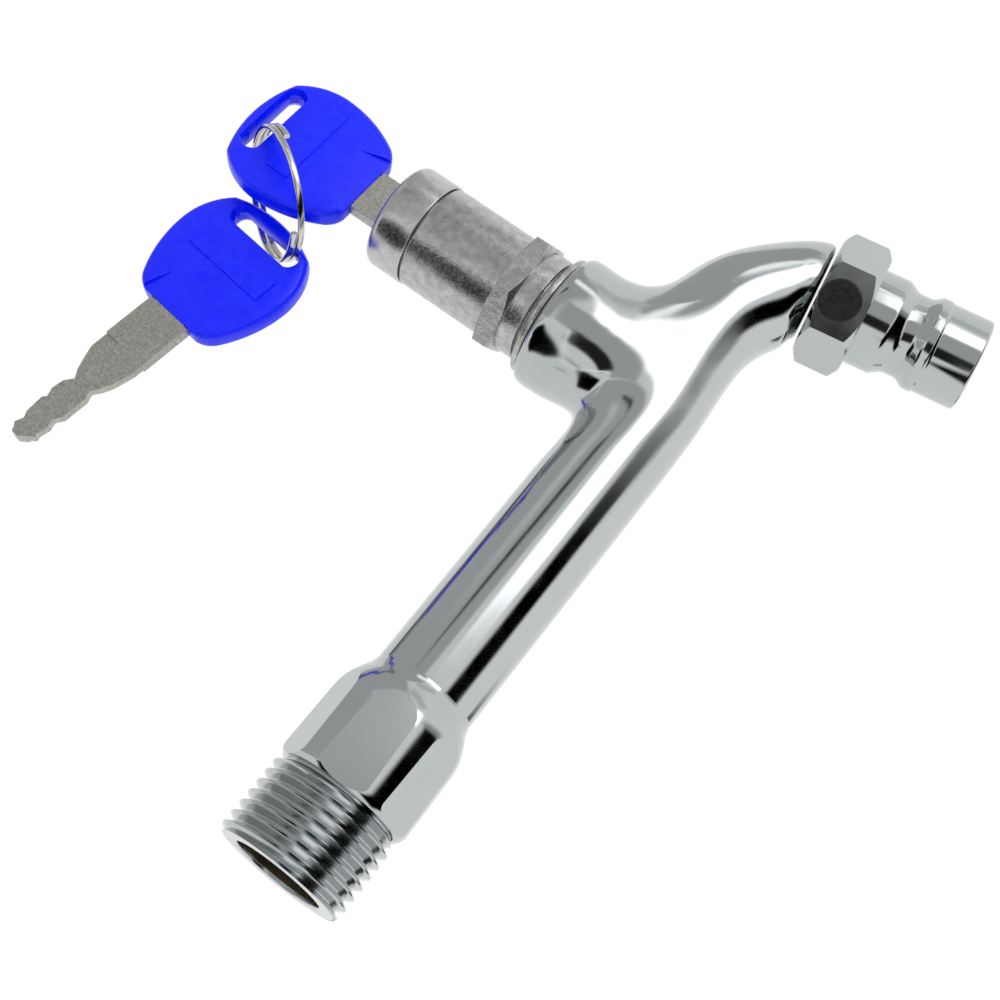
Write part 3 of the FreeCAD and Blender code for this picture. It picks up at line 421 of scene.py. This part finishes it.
# Black set screw: stops the nozzle from being unscrewed. Blackened steel with a hexagonal
# socket, sunk in the flat of the nozzle's hexagon.
SCREW_STATION, SCREW_TURN, SCREW_OUT, SCREW_FACE = 23.5, 150, 7.3, 2.75
SCREW_R, SCREW_EASE, SCREW_EASE_DROP, SCREW_SHANK = 3.65, 0.5, 0.45, 2
SOCKET_R, SOCKET_DROP = 1.9, 0.22
screw_place = (NOZZLE_AXIS @ Matrix.Translation((0, 0, SCREW_STATION * MM))
               @ Matrix.Rotation(math.radians(SCREW_TURN), 4, "Z") @ Matrix.Rotation(math.radians(90), 4, "Y")
               @ Matrix.Translation((0, 0, SCREW_OUT * MM)))
screw = bmesh.new()
top = Matrix.Translation((0, 0, SCREW_FACE))
rim = bmesh.ops.create_circle(screw, segments=60, radius=SCREW_R - SCREW_EASE, matrix=top)
rim_edges = edges_of(rim["verts"])
socket = bmesh.ops.create_circle(screw, segments=6, radius=SOCKET_R, matrix=top)
socket_edges = edges_of(socket["verts"])
bmesh.ops.bridge_loops(screw, edges=rim_edges + socket_edges)
for edges, reach, drop in ((rim_edges, SCREW_R / (SCREW_R - SCREW_EASE), SCREW_EASE_DROP),
                           (socket_edges, 1, SOCKET_DROP)):
    grown = bmesh.ops.extrude_edge_only(screw, edges=edges)["geom"]
    verts = picked(grown, bmesh.types.BMVert)
    bmesh.ops.scale(screw, verts=verts, vec=(reach, reach, 1))
    bmesh.ops.translate(screw, verts=verts, vec=(0, 0, -drop))
    last = [edge for edge in picked(grown, bmesh.types.BMEdge) if edge.is_boundary]
    if edges is rim_edges:
        wall = bmesh.ops.extrude_edge_only(screw, edges=last)["geom"]
        bmesh.ops.translate(screw, verts=picked(wall, bmesh.types.BMVert), vec=(0, 0, -SCREW_SHANK))
        last = [edge for edge in picked(wall, bmesh.types.BMEdge) if edge.is_boundary]
    bmesh.ops.contextual_create(screw, geom=last)
bmesh.ops.recalc_face_normals(screw, faces=screw.faces[:])
black_oxide = mottled("black_oxide_steel", 0.25, (0.8, 5), (0.002, 0.002, 0.003), (0.012, 0.012, 0.013),
                      (0.6,), 0.28, 0.5, (((0.5, 4), 0.05),))
set_screw = settled("set_screw", screw, screw_place, black_oxide)
fitted(broken_edges(set_screw, 0.08), "tap", "black_screw", "nozzle_set_screw")

# Flange washer and lock housing: a die-cast zinc lock, nickel plated over its grainy skin,
# screwed into the boss with its hexagon. The cap is a turned ring, pressed on afterwards.
LOCK_AXIS = Matrix.Translation((0, -LOCK_RUN * MM, 0))
WASHER_R, WASHER_HOLE_R, WASHER_BASE, WASHER_EDGE, WASHER_TOP = 10.4, 8, 21.4, 22.3, 22.6
COLLAR_R, BARREL_R, STUB_R, PLUG_ROOM_R = 9.0, 8.9, 7.9, 6
STUB_BASE, COLLAR_BASE, BARREL_TOP = 20, 23.3, 45.6
TUMBLER_ROOM_R, TUMBLER_ROOM_BASE, TUMBLER_ROOM_TOP = 7.3, 30.8, 41.7
LOCK_HEX_BASE, LOCK_HEX_TOP, LOCK_HEX_R, LOCK_HEX_FACE_R, LOCK_HEX_FLATS = 26.4, 29.95, 10.95, 9.4, 19.0
CAP_BASE, CAP_FACE, CAP_R, CAP_SEAT_R, CAP_HOLE_R, CAP_MOUTH_R = 45.9, 52.7, 9.1, 8.2, 5.66, 6.05


def zinc_plate(name, dark, light, rough, grain_depth):
    """Nickel plate on die-cast zinc: grey, grainy and a little blotched."""
    return mottled(name, 1, (1.3, 6), dark, light, (0.5, 3), rough * 0.8, rough * 1.25,
                   (((2.2, 2), grain_depth * 2.5), ((0.32, 3), grain_depth)))


lock_zinc = zinc_plate("nickelled_zinc", (0.36, 0.365, 0.355), (0.54, 0.545, 0.525), 0.26, 0.03)
cap_zinc = zinc_plate("nickelled_cap", (0.44, 0.445, 0.43), (0.56, 0.565, 0.55), 0.24, 0.01)

washer = turned([(WASHER_HOLE_R, WASHER_BASE), (WASHER_R - 0.1, WASHER_BASE, 0.15),
                 (WASHER_R, WASHER_EDGE, 0.2), (WASHER_R - 0.6, WASHER_TOP, 0.15), (WASHER_HOLE_R, WASHER_TOP)])
fitted(settled("flange_washer", washer, LOCK_AXIS, lock_zinc), "tap", "lock_metal", "flange_washer")

barrel = turned([(PLUG_ROOM_R, STUB_BASE), (STUB_R, STUB_BASE), (STUB_R, COLLAR_BASE),
                 (COLLAR_R, COLLAR_BASE, 0.2), (COLLAR_R, LOCK_HEX_BASE + 0.4),
                 (BARREL_R, LOCK_HEX_TOP - 0.4), (BARREL_R, BARREL_TOP, 0.15),
                 (CAP_SEAT_R, BARREL_TOP), (CAP_SEAT_R, CAP_BASE + 1), (PLUG_ROOM_R, CAP_BASE + 1),
                 (PLUG_ROOM_R, TUMBLER_ROOM_TOP), (TUMBLER_ROOM_R, TUMBLER_ROOM_TOP),
                 (TUMBLER_ROOM_R, TUMBLER_ROOM_BASE), (PLUG_ROOM_R, TUMBLER_ROOM_BASE)])
lock_barrel = settled("lock_barrel", barrel, LOCK_AXIS, lock_zinc)
fitted(lock_barrel, "tap", "lock_metal", "lock_barrel")
hexagon = turned([(STUB_R, LOCK_HEX_BASE), (LOCK_HEX_FACE_R, LOCK_HEX_BASE),
                  (LOCK_HEX_R, LOCK_HEX_BASE + 0.7), (LOCK_HEX_R, LOCK_HEX_TOP - 0.5),
                  (LOCK_HEX_FACE_R, LOCK_HEX_TOP), (STUB_R, LOCK_HEX_TOP)])
lock_hexagon = settled("lock_hexagon", flatten_sides(hexagon, LOCK_HEX_FLATS, 0), LOCK_AXIS, lock_zinc, 12)
fitted(broken_edges(lock_hexagon, 0.12, 14), "tap", "lock_metal", "lock_barrel")

cap = turned([(CAP_HOLE_R, CAP_BASE), (CAP_R, CAP_BASE, 0.2), (CAP_R, CAP_FACE, 1.3),
              (CAP_MOUTH_R, CAP_FACE, 0.1), (CAP_HOLE_R, CAP_FACE - 0.4)])
lock_cap = settled("lock_cap", cap, LOCK_AXIS, cap_zinc)
fitted(lock_cap, "tap", "lock_metal", "lock_cap")

# Keys: a pressed nickel-silver blade with cuts along both edges and a milled step, and a
# bow of glossy blue plastic moulded over its tang, with a long slot for the ring.
KEY_STEEL_THICK, BOW_THICK, BOW_ROUND = 2.2, 4.2, 1.2
SHOULDER, REST_TURN = 59.15, 4.4
BOW_OUTLINE = (
    (-6, 0), (6, 0, 4.8), (8.85, 1.9, 23), (12.3, 13.1, 12.3), (8.85, 22.2, 22.3), (-8.85, 22.2, 12.3),
    (-12.3, 13.1, 23), (-8.85, 1.9, 4.8))
BLADE_OUTLINE = (
    (3.5, 0), (3.5, 9), (-3.5, 9), (-3.5, 0), (-4.4, 0), (-4.4, -11.2), (-3.7, -15), (-3, -16.7),
    (-2.1, -18.1), (-2.7, -19.5), (-2.7, -24), (-1.9, -25.4), (-2.4, -26.7), (-2.1, -28.6), (-2.4, -29.3),
    (-0.2, -31.2), (1, -31.2), (2.4, -29.8), (1.9, -28.3), (2.5, -27.3), (2.8, -24), (2.3, -23.4),
    (2.9, -21.9), (2.7, -19.8), (1.7, -18.3), (2.7, -16.9), (3.6, -14.8), (4.4, -12.6), (4.4, 0))
STEP_DEPTH, STEP_WIDTH, STEP_LENGTH, STEP_TOP, STEP_OUT = 0.55, 4, 22.6, 9.5, 3.4
FIELD_INSET, FIELD_RISE, RIM_STEP, RIM_END = 1.3, 0.12, 15, 75
PANEL_LENGTH, PANEL_HEIGHT, PANEL_RISE, PANEL_SHIFT, PANEL_MIDDLE = 16.2, 4.4, 0.3, -0.6, 13.0
SLOT_MIDDLE, SLOT_SHIFT, SLOT_HALF, SLOT_R = 20.2, -0.7, 5.6, 1.5
FLARE_DEEP, FLARE_OUT, FLARE_LONG, FLARE_HIGH = 1.6, -0.4, 1.1, 1.4
FACET_FOOT, FACET_TOP, FACET_LOW_HALF, FACET_HIGH_HALF, FACET_DEPTH = -0.5, 5.3, 6.9, 4.75, 0.95
CUTTER = 2


def outlined(corners):
    """A flat outline in the YZ plane. A corner's third value is the radius of the arc that
    leads on to the next corner and bulges to the right of the way there."""
    bm = bmesh.new()
    points = [Vector((0, corner[0], corner[1])) for corner in corners]
    for corner, start, end in zip(corners, points, points[1:] + points[:1]):
        vert = bm.verts.new(start)
        if len(corner) < 3:
            bm.edges.new((vert, bm.verts.new(end)))
            continue
        chord = end - start
        inward = Vector((0, -chord.z, chord.y)).normalized()
        centre = (start + end) / 2 + inward * math.sqrt(max(corner[2] ** 2 - chord.length_squared / 4, 0))
        sweep = 2 * math.asin(min(1, chord.length / 2 / corner[2]))
        bmesh.ops.spin(bm, geom=[vert], cent=centre, axis=(1, 0, 0), angle=sweep, steps=14)
    bmesh.ops.remove_doubles(bm, verts=bm.verts[:], dist=1e-3)
    return bm


def thickened(bm, thick):
    """A plate from a flat outline, half its thickness to either side."""
    face = bmesh.ops.contextual_create(bm, geom=bm.edges[:])["faces"]
    bmesh.ops.translate(bm, verts=bm.verts[:], vec=(-thick / 2, 0, 0))
    grown = bmesh.ops.extrude_face_region(bm, geom=face, use_keep_orig=True)["geom"]
    bmesh.ops.translate(bm, verts=picked(grown, bmesh.types.BMVert), vec=(thick, 0, 0))
    bmesh.ops.recalc_face_normals(bm, faces=bm.faces[:])
    return bm


def boxed(size, centre):
    """A block of a size about a centre."""
    bm = bmesh.new()
    bmesh.ops.create_cube(bm, size=1, matrix=Matrix.Translation(centre) @ Matrix.Diagonal((*size, 1)))
    return bm


def milled(bm, cutter, operation="DIFFERENCE"):
    """Takes one shape away from another, or joins it on."""
    mesh = bpy.data.meshes.new("cutter")
    cutter.to_mesh(mesh)
    cutter.free()
    tool = bpy.data.objects.new("cutter", mesh)
    bpy.context.scene.collection.objects.link(tool)
    made = baked(bm, "BOOLEAN", operation=operation, solver="EXACT", object=tool)
    bpy.data.objects.remove(tool)
    bpy.data.meshes.remove(mesh)
    return made


def key_blade():
    """The blade with its milled step on both faces."""
    blade = thickened(outlined(BLADE_OUTLINE), KEY_STEEL_THICK)
    for side in (-1, 1):
        out = KEY_STEEL_THICK / 2 - STEP_DEPTH + CUTTER / 2
        blade = milled(blade, boxed((CUTTER, STEP_WIDTH, STEP_LENGTH),
                                    (side * out, -side * STEP_OUT, -STEP_TOP - STEP_LENGTH / 2)))
    return blade


def slot_outline(radius):
    """The slot's long round-ended outline."""
    low, high = SLOT_SHIFT - SLOT_HALF, SLOT_SHIFT + SLOT_HALF
    return outlined(((low, SLOT_MIDDLE - radius), (high, SLOT_MIDDLE - radius, radius + 0.001),
                     (high, SLOT_MIDDLE + radius), (low, SLOT_MIDDLE + radius, radius + 0.001)))


def key_bow():
    """The moulded bow: rounded rim, slot flared to both faces, raised panel, sloped facets."""
    bow = thickened(outlined(BOW_OUTLINE), BOW_THICK - 2 * BOW_ROUND)
    for face in [face for face in bow.faces if abs(face.normal.x) > 0.99]:
        for angle in range(0, RIM_END, RIM_STEP):
            near, far = math.radians(angle), math.radians(angle + RIM_STEP)
            bmesh.ops.inset_region(bow, faces=[face], thickness=BOW_ROUND * (math.cos(near) - math.cos(far)),
                                   depth=BOW_ROUND * (math.sin(far) - math.sin(near)), use_boundary=True,
                                   use_even_offset=True)
        bmesh.ops.inset_region(bow, faces=[face], thickness=FIELD_INSET, depth=FIELD_RISE, use_boundary=True,
                               use_even_offset=True)
    face_at = max(vert.co.x for vert in bow.verts)
    panel = boxed((2 * face_at + 2 * PANEL_RISE, PANEL_LENGTH, PANEL_HEIGHT), (0, PANEL_SHIFT, PANEL_MIDDLE))
    bow = milled(bow, panel, "UNION")
    bow = milled(bow, thickened(slot_outline(SLOT_R), BOW_THICK + CUTTER))
    for side in (-1, 1):
        flare = thickened(slot_outline(SLOT_R), FLARE_DEEP)
        outer = [vert for vert in flare.verts if vert.co.x * side > 0]
        bmesh.ops.scale(flare, verts=outer, vec=(1, FLARE_LONG, FLARE_HIGH),
                        space=Matrix.Translation((0, -SLOT_SHIFT, -SLOT_MIDDLE)))
        bmesh.ops.translate(flare, verts=flare.verts[:], vec=(side * (face_at + FLARE_OUT), 0, 0))
        bow = milled(bow, flare)
        facet = boxed((CUTTER, 2 * FACET_LOW_HALF, FACET_TOP - FACET_FOOT),
                      (side * (face_at + CUTTER / 2), 0, (FACET_TOP + FACET_FOOT) / 2))
        high = [vert for vert in facet.verts if vert.co.z > 1]
        inner = [vert for vert in facet.verts if vert.co.z < 1 and vert.co.x * side < face_at + 0.5]
        bmesh.ops.scale(facet, verts=high, vec=(1, FACET_HIGH_HALF / FACET_LOW_HALF, 1))
        bmesh.ops.translate(facet, verts=inner, vec=(-side * FACET_DEPTH, 0, 0))
        bow = milled(bow, facet)
    return bow


nickel_silver = mottled("nickel_silver_blade", 1, (0.45, 5), (0.33, 0.325, 0.29), (0.56, 0.555, 0.51),
                        (0.4, 3), 0.3, 0.5, (((0.25, 3), 0.02),))
blue_plastic = mottled("moulded_blue_plastic", 0, (9, 3), (0.0, 0.008, 0.88), (0.0, 0.014, 0.96), (1.5, 4),
                       0.22, 0.34, (((0.6, 3), 0.006),))
plastic_shader = blue_plastic.node_tree.nodes["Principled BSDF"]
plastic_shader.inputs["IOR"].default_value = 1.5
plastic_shader.inputs["Specular IOR Level"].default_value = 0.28

IN_LOCK = (LOCK_AXIS @ Matrix.Translation((0, 0, SHOULDER * MM))
           @ Matrix.Rotation(math.radians(REST_TURN), 4, "Z"))
hang_x, hang_y = Vector((0.998, -0.022, -0.058)), Vector((0.054, -0.147, 0.988))
hang_z = hang_x.cross(hang_y).normalized()
hang_x = hang_y.cross(hang_z).normalized()
ON_RING = (Matrix.Translation((0.00627, -0.05977, 0.07184))
           @ Matrix((hang_x, hang_y.normalized(), hang_z)).transposed().to_4x4())
for number, body, place in ((1, "key_in_lock", IN_LOCK), (2, "spare_key", ON_RING)):
    blade = settled(f"key_{number}_blade_steel", key_blade(), place, nickel_silver)
    fitted(broken_edges(blade, 0.1), body, "key_steel", f"key_{number}_blade")
    bow = settled(f"key_{number}_bow_moulding", key_bow(), place, blue_plastic)
    fitted(broken_edges(bow, 0.2), body, "blue_plastic", f"key_{number}_bow")

# Split ring: two flat turns of nickelled spring steel that hold the keys together, with a
# step across from one turn to the other.
slide = next(joint for joint in frame["joints"] if joint["name"] == "spare_key_slide")
RING_R, WIRE_WIDE, WIRE_DEEP, RING_PITCH = 10.85, 1.02, 0.8, 1.18
WIRE_ROUND, WIRE_ENDS, STEPS_PER_QUARTER = 0.24, 45, 24
wire = bmesh.new()
flat = [wire.verts.new((RING_R + side * WIRE_DEEP / 2, 0, edge * WIRE_WIDE / 2 - RING_PITCH / 2))
        for side, edge in ((-1, -1), (1, -1), (1, 1), (-1, 1))]
wire.faces.new(flat)
bmesh.ops.bevel(wire, geom=flat, offset=WIRE_ROUND, offset_type="OFFSET", segments=3, profile=0.5,
                affect="VERTICES", clamp_overlap=True, material=-1)
bmesh.ops.rotate(wire, verts=wire.verts[:], cent=(0, 0, 0),
                 matrix=Matrix.Rotation(math.radians(WIRE_ENDS), 3, "Z"))
moving = wire.verts[:] + wire.edges[:] + wire.faces[:]
for quarters, rise in ((3, 0), (1, RING_PITCH), (3, 0)):
    steps = STEPS_PER_QUARTER * quarters
    moving = bmesh.ops.spin(wire, geom=moving, cent=(0, 0, 0), axis=(0, 0, 1), dvec=(0, 0, rise / steps),
                            angle=math.radians(90 * quarters), steps=steps)["geom_last"]
bmesh.ops.recalc_face_normals(wire, faces=wire.faces[:])
ring_steel = mottled("nickelled_ring_steel", 1, (1.5, 4), (0.50, 0.49, 0.45), (0.62, 0.61, 0.57),
                     (0.5,), 0.08, 0.18)
ring_z = Vector(slide["axis"]).normalized()
ring_x = Vector((-0.877, 0.079, -0.477))
ring_y = ring_z.cross(ring_x).normalized()
ring_place = (Matrix.Translation(slide["pos_m"])
              @ Matrix((ring_y.cross(ring_z), ring_y, ring_z)).transposed().to_4x4())
split_ring = settled("key_ring_wire", wire, ring_place, ring_steel)
fitted(split_ring, "ring", "ring_steel", "split_ring")

# Parts inside the tap: plug, spindle, tumblers, discs, washers and seals keep their CAD
# shapes and take the finish of their own metal, ceramic, rubber or plastic.
rubber = mottled("black_rubber", 0, (0.8, 4), (0.012, 0.012, 0.012), (0.03, 0.03, 0.03), (0.4,), 0.5, 0.75)
acetal = mottled("white_acetal", 0, (2, 3), (0.66, 0.65, 0.61), (0.76, 0.75, 0.71), (0.9,), 0.35, 0.5)
ceramic = mottled("lapped_ceramic", 0, (1, 3), (0.72, 0.71, 0.69), (0.82, 0.81, 0.80), (0.5,), 0.08, 0.16)
brass = mottled("turned_brass", 1, (1.5, 4), (0.60, 0.43, 0.17), (0.72, 0.54, 0.25),
                (0.6, 3, (1, 1, 12)), 0.2, 0.36)
INSIDE = {
    "housing_seal": rubber, "seat_seal": rubber, "spindle_seal_lower": rubber, "spindle_seal_upper": rubber,
    "nozzle_seal": rubber, "thrust_washer": acetal, "valve_cartridge": acetal, "fixed_disc": ceramic,
    "moving_disc": ceramic, "spindle": brass, "tumblers_near": brass, "tumblers_far": brass,
    "lock_plug": cap_zinc,
}
for name, material in INSIDE.items():
    for place in frame["nodes"][name].material_slots:
        place.material = material

# Floor, lights and camera: a pale floor well below the tap, white surroundings, one
# window-like lamp, and white, grey and black studio cards that show only in reflections.
TAP_MIDDLE = Vector((0, -0.08, 0.0))
FLOOR_Z, FLOOR_SIZE, FLOOR_TONE, FLOOR_GLOW = -1.0, 12, 0.85, 0.35
ROOM_TONE = 0.8
LOW_SIGHT, LOW_CARD_OUT, CARD_OUT, CARD_GAP = -0.3, 0.74, 1.6, 0.02
CARDS = (
    # name, start and end (turn, tilt), width, soft edge, level. Cards that start low stand
    # nearer, above the floor, and among those equally near or far the later is in front.
    ("grey_room_above", (119, -68), (119, 36), 102, 11, 0.56),
    ("grey_room_side", (189, -14), (189, 30), 50, 7, 0.56),
    ("black_room_side", (194, 20), (194, 50), 32, 7, 0.02),
    ("pale_glow_above", (130, -34), (130, -13), 24, 12, 0.8),
    ("dark_line_far", (74, -30), (72, -8), 13, 6, 0.1),
    ("dark_line_near", (158, -28), (144.5, -13), 10.5, 5, 0.06),
    ("window", (198, -12), (196, -44), 36, 7, 2.6),
    ("window_low", (190, -38), (150, -43), 13, 6, 1.7),
    ("grey_below_window", (215, -46), (150, -60), 20, 8, 0.75),
    ("dim_floor_edge", (243, -38), (243, -20), 50, 14, 0.45),
    ("black_low", (241.5, -33), (241.5, 66), 48, 12, 0.0),
    ("black_low_far", (316, -13), (316, 12), 24, 5, 0.02),
    ("black_inlet", (136, 38), (136, 84), 42, 7, 0.0),
    ("white_line_over", (110, 16), (178, 31), 3.2, 2, 1.1),
    ("white_line_end", (177, 27), (200, 80), 4.2, 2, 1.3),
)


def stage_sheet(name, place, width, height, material):
    """A flat sheet of the studio."""
    bm = bmesh.new()
    bmesh.ops.create_grid(bm, x_segments=1, y_segments=1, size=0.5)
    mesh = bpy.data.meshes.new(name)
    bm.to_mesh(mesh)
    bm.free()
    mesh.materials.append(material)
    sheet = bpy.data.objects.new(name, mesh)
    bpy.context.scene.collection.objects.link(sheet)
    sheet.matrix_world = place @ Matrix.Diagonal((width, height, 1, 1))
    return sheet


def sight(turn, tilt):
    """A direction seen from the tap, in degrees: turned about its neck from +X over the top,
    and tilted towards the wall."""
    turn, tilt = math.radians(turn), math.radians(tilt)
    return Vector((math.cos(tilt) * math.cos(turn), math.sin(tilt), math.cos(tilt) * math.sin(turn)))


def card_glow(name, half_sizes, soft, level):
    """A glow that fades out towards the four edges of a card, within a soft angle."""
    material, nodes, links, shader = new_material(name)
    nodes.remove(shader)
    where = nodes.new("ShaderNodeTexCoord")
    parts = nodes.new("ShaderNodeSeparateXYZ")
    links.new(where.outputs["Object"], parts.inputs["Vector"])
    share = nodes.new("ShaderNodeMath")
    share.operation = "MULTIPLY"
    for number, half in enumerate(half_sizes):
        off = nodes.new("ShaderNodeMath")
        off.operation = "ABSOLUTE"
        links.new(parts.outputs[number], off.inputs[0])
        edge = nodes.new("ShaderNodeMapRange")
        edge.interpolation_type = "SMOOTHSTEP"
        edge.inputs["From Min"].default_value = 0.5
        edge.inputs["From Max"].default_value = 0.5 - min(0.5, math.tan(math.radians(soft)) / half / 2)
        links.new(off.outputs[0], edge.inputs["Value"])
        links.new(edge.outputs["Result"], share.inputs[number])
    glow = nodes.new("ShaderNodeEmission")
    glow.inputs["Color"].default_value = (1, 1, 1, 1)
    glow.inputs["Strength"].default_value = level
    mixed = nodes.new("ShaderNodeMixShader")
    links.new(share.outputs[0], mixed.inputs["Fac"])
    links.new(nodes.new("ShaderNodeBsdfTransparent").outputs[0], mixed.inputs[1])
    links.new(glow.outputs[0], mixed.inputs[2])
    links.new(mixed.outputs[0], nodes["Material Output"].inputs["Surface"])
    return material


def studio_card(name, start, end, width, soft, level, distance):
    """A soft-edged card that reaches from one direction to another, seen in reflections only."""
    first, last = sight(*start), sight(*end)
    middle, along = (first + last).normalized(), (last - first).normalized()
    half_long, half_wide = math.tan(first.angle(last) / 2), math.tan(math.radians(width / 2))
    facing = Matrix((along, middle.cross(along), middle)).transposed().to_4x4()
    card = stage_sheet(name, Matrix.Translation(TAP_MIDDLE + middle * distance) @ facing,
                       2 * half_long * distance, 2 * half_wide * distance,
                       card_glow(name, (half_long, half_wide), soft, level))
    card.visible_camera = False
    card.visible_diffuse = False
    card.visible_shadow = False
    card.visible_transmission = False
    return card


floor_paint, nodes, links, shader = new_material("pale_floor")
shader.inputs["Base Color"].default_value = (FLOOR_TONE, FLOOR_TONE, FLOOR_TONE, 1)
shader.inputs["Roughness"].default_value = 0.9
shader.inputs["Emission Color"].default_value = (FLOOR_GLOW, FLOOR_GLOW, FLOOR_GLOW, 1)
shader.inputs["Emission Strength"].default_value = 1.0
stage_sheet("pale_floor", Matrix.Translation((0, 0, FLOOR_Z)), FLOOR_SIZE, FLOOR_SIZE, floor_paint)
for number, (name, start, end, width, soft, level) in enumerate(CARDS):
    out = LOW_CARD_OUT if sight(*start).z < LOW_SIGHT else CARD_OUT
    studio_card(name, start, end, width, soft, level, out - CARD_GAP * number)

world = bpy.data.worlds.new("white_room")
world.use_nodes = True
bpy.context.scene.world = world
nodes, links = world.node_tree.nodes, world.node_tree.links
room = nodes["Background"]
room.inputs["Color"].default_value = (ROOM_TONE, ROOM_TONE, ROOM_TONE, 1)
seen = nodes.new("ShaderNodeBackground")
seen.inputs["Color"].default_value = (1, 1, 1, 1)
path = nodes.new("ShaderNodeLightPath")
mirrored = path.outputs["Is Camera Ray"]
for kind in ("Is Glossy Ray", "Is Transmission Ray"):
    either = nodes.new("ShaderNodeMath")
    either.operation = "MAXIMUM"
    links.new(mirrored, either.inputs[0])
    links.new(path.outputs[kind], either.inputs[1])
    mirrored = either.outputs[0]
choice = nodes.new("ShaderNodeMixShader")
links.new(mirrored, choice.inputs["Fac"])
links.new(room.outputs[0], choice.inputs[1])
links.new(seen.outputs[0], choice.inputs[2])
links.new(choice.outputs[0], nodes["World Output"].inputs["Surface"])

LAMPS = (
    # name, where it stands (turn, tilt), distance, width, height, power in watts
    ("window_lamp", (188, -31), 0.9, 0.34, 0.8, 2.4),
)
for name, stand, distance, width, height, power in LAMPS:
    lamp = bpy.data.lights.new(name, "AREA")
    lamp.shape = "RECTANGLE"
    lamp.size, lamp.size_y, lamp.energy = width, height, power
    item = bpy.data.objects.new(name, lamp)
    away = sight(*stand)
    facing = away.to_track_quat("Z", "Y").to_matrix().to_4x4()
    item.matrix_world = Matrix.Translation(TAP_MIDDLE + away * distance) @ facing
    item.visible_glossy = False
    bpy.context.scene.collection.objects.link(item)

CAMERA_AT = Vector((-0.237137, 0.028334, -0.040506))
FOCAL_LENGTH, SENSOR_WIDTH = 61.55, 36
camera_right, camera_up = Vector((-0.063, -0.594, -0.802)).normalized(), Vector((-0.400, -0.721, 0.566))
camera_back = camera_right.cross(camera_up).normalized()
camera_up = camera_back.cross(camera_right)
lens = bpy.data.cameras.new("camera")
lens.lens, lens.sensor_width = FOCAL_LENGTH, SENSOR_WIDTH
lens.clip_start, lens.clip_end = 0.01, 50
camera = bpy.data.objects.new("camera", lens)
camera.matrix_world = (Matrix.Translation(CAMERA_AT)
                       @ Matrix((camera_right, camera_up, camera_back)).transposed().to_4x4())
bpy.context.scene.collection.objects.link(camera)
bpy.context.scene.camera = camera
bpy.context.scene.view_settings.view_transform = "Standard"
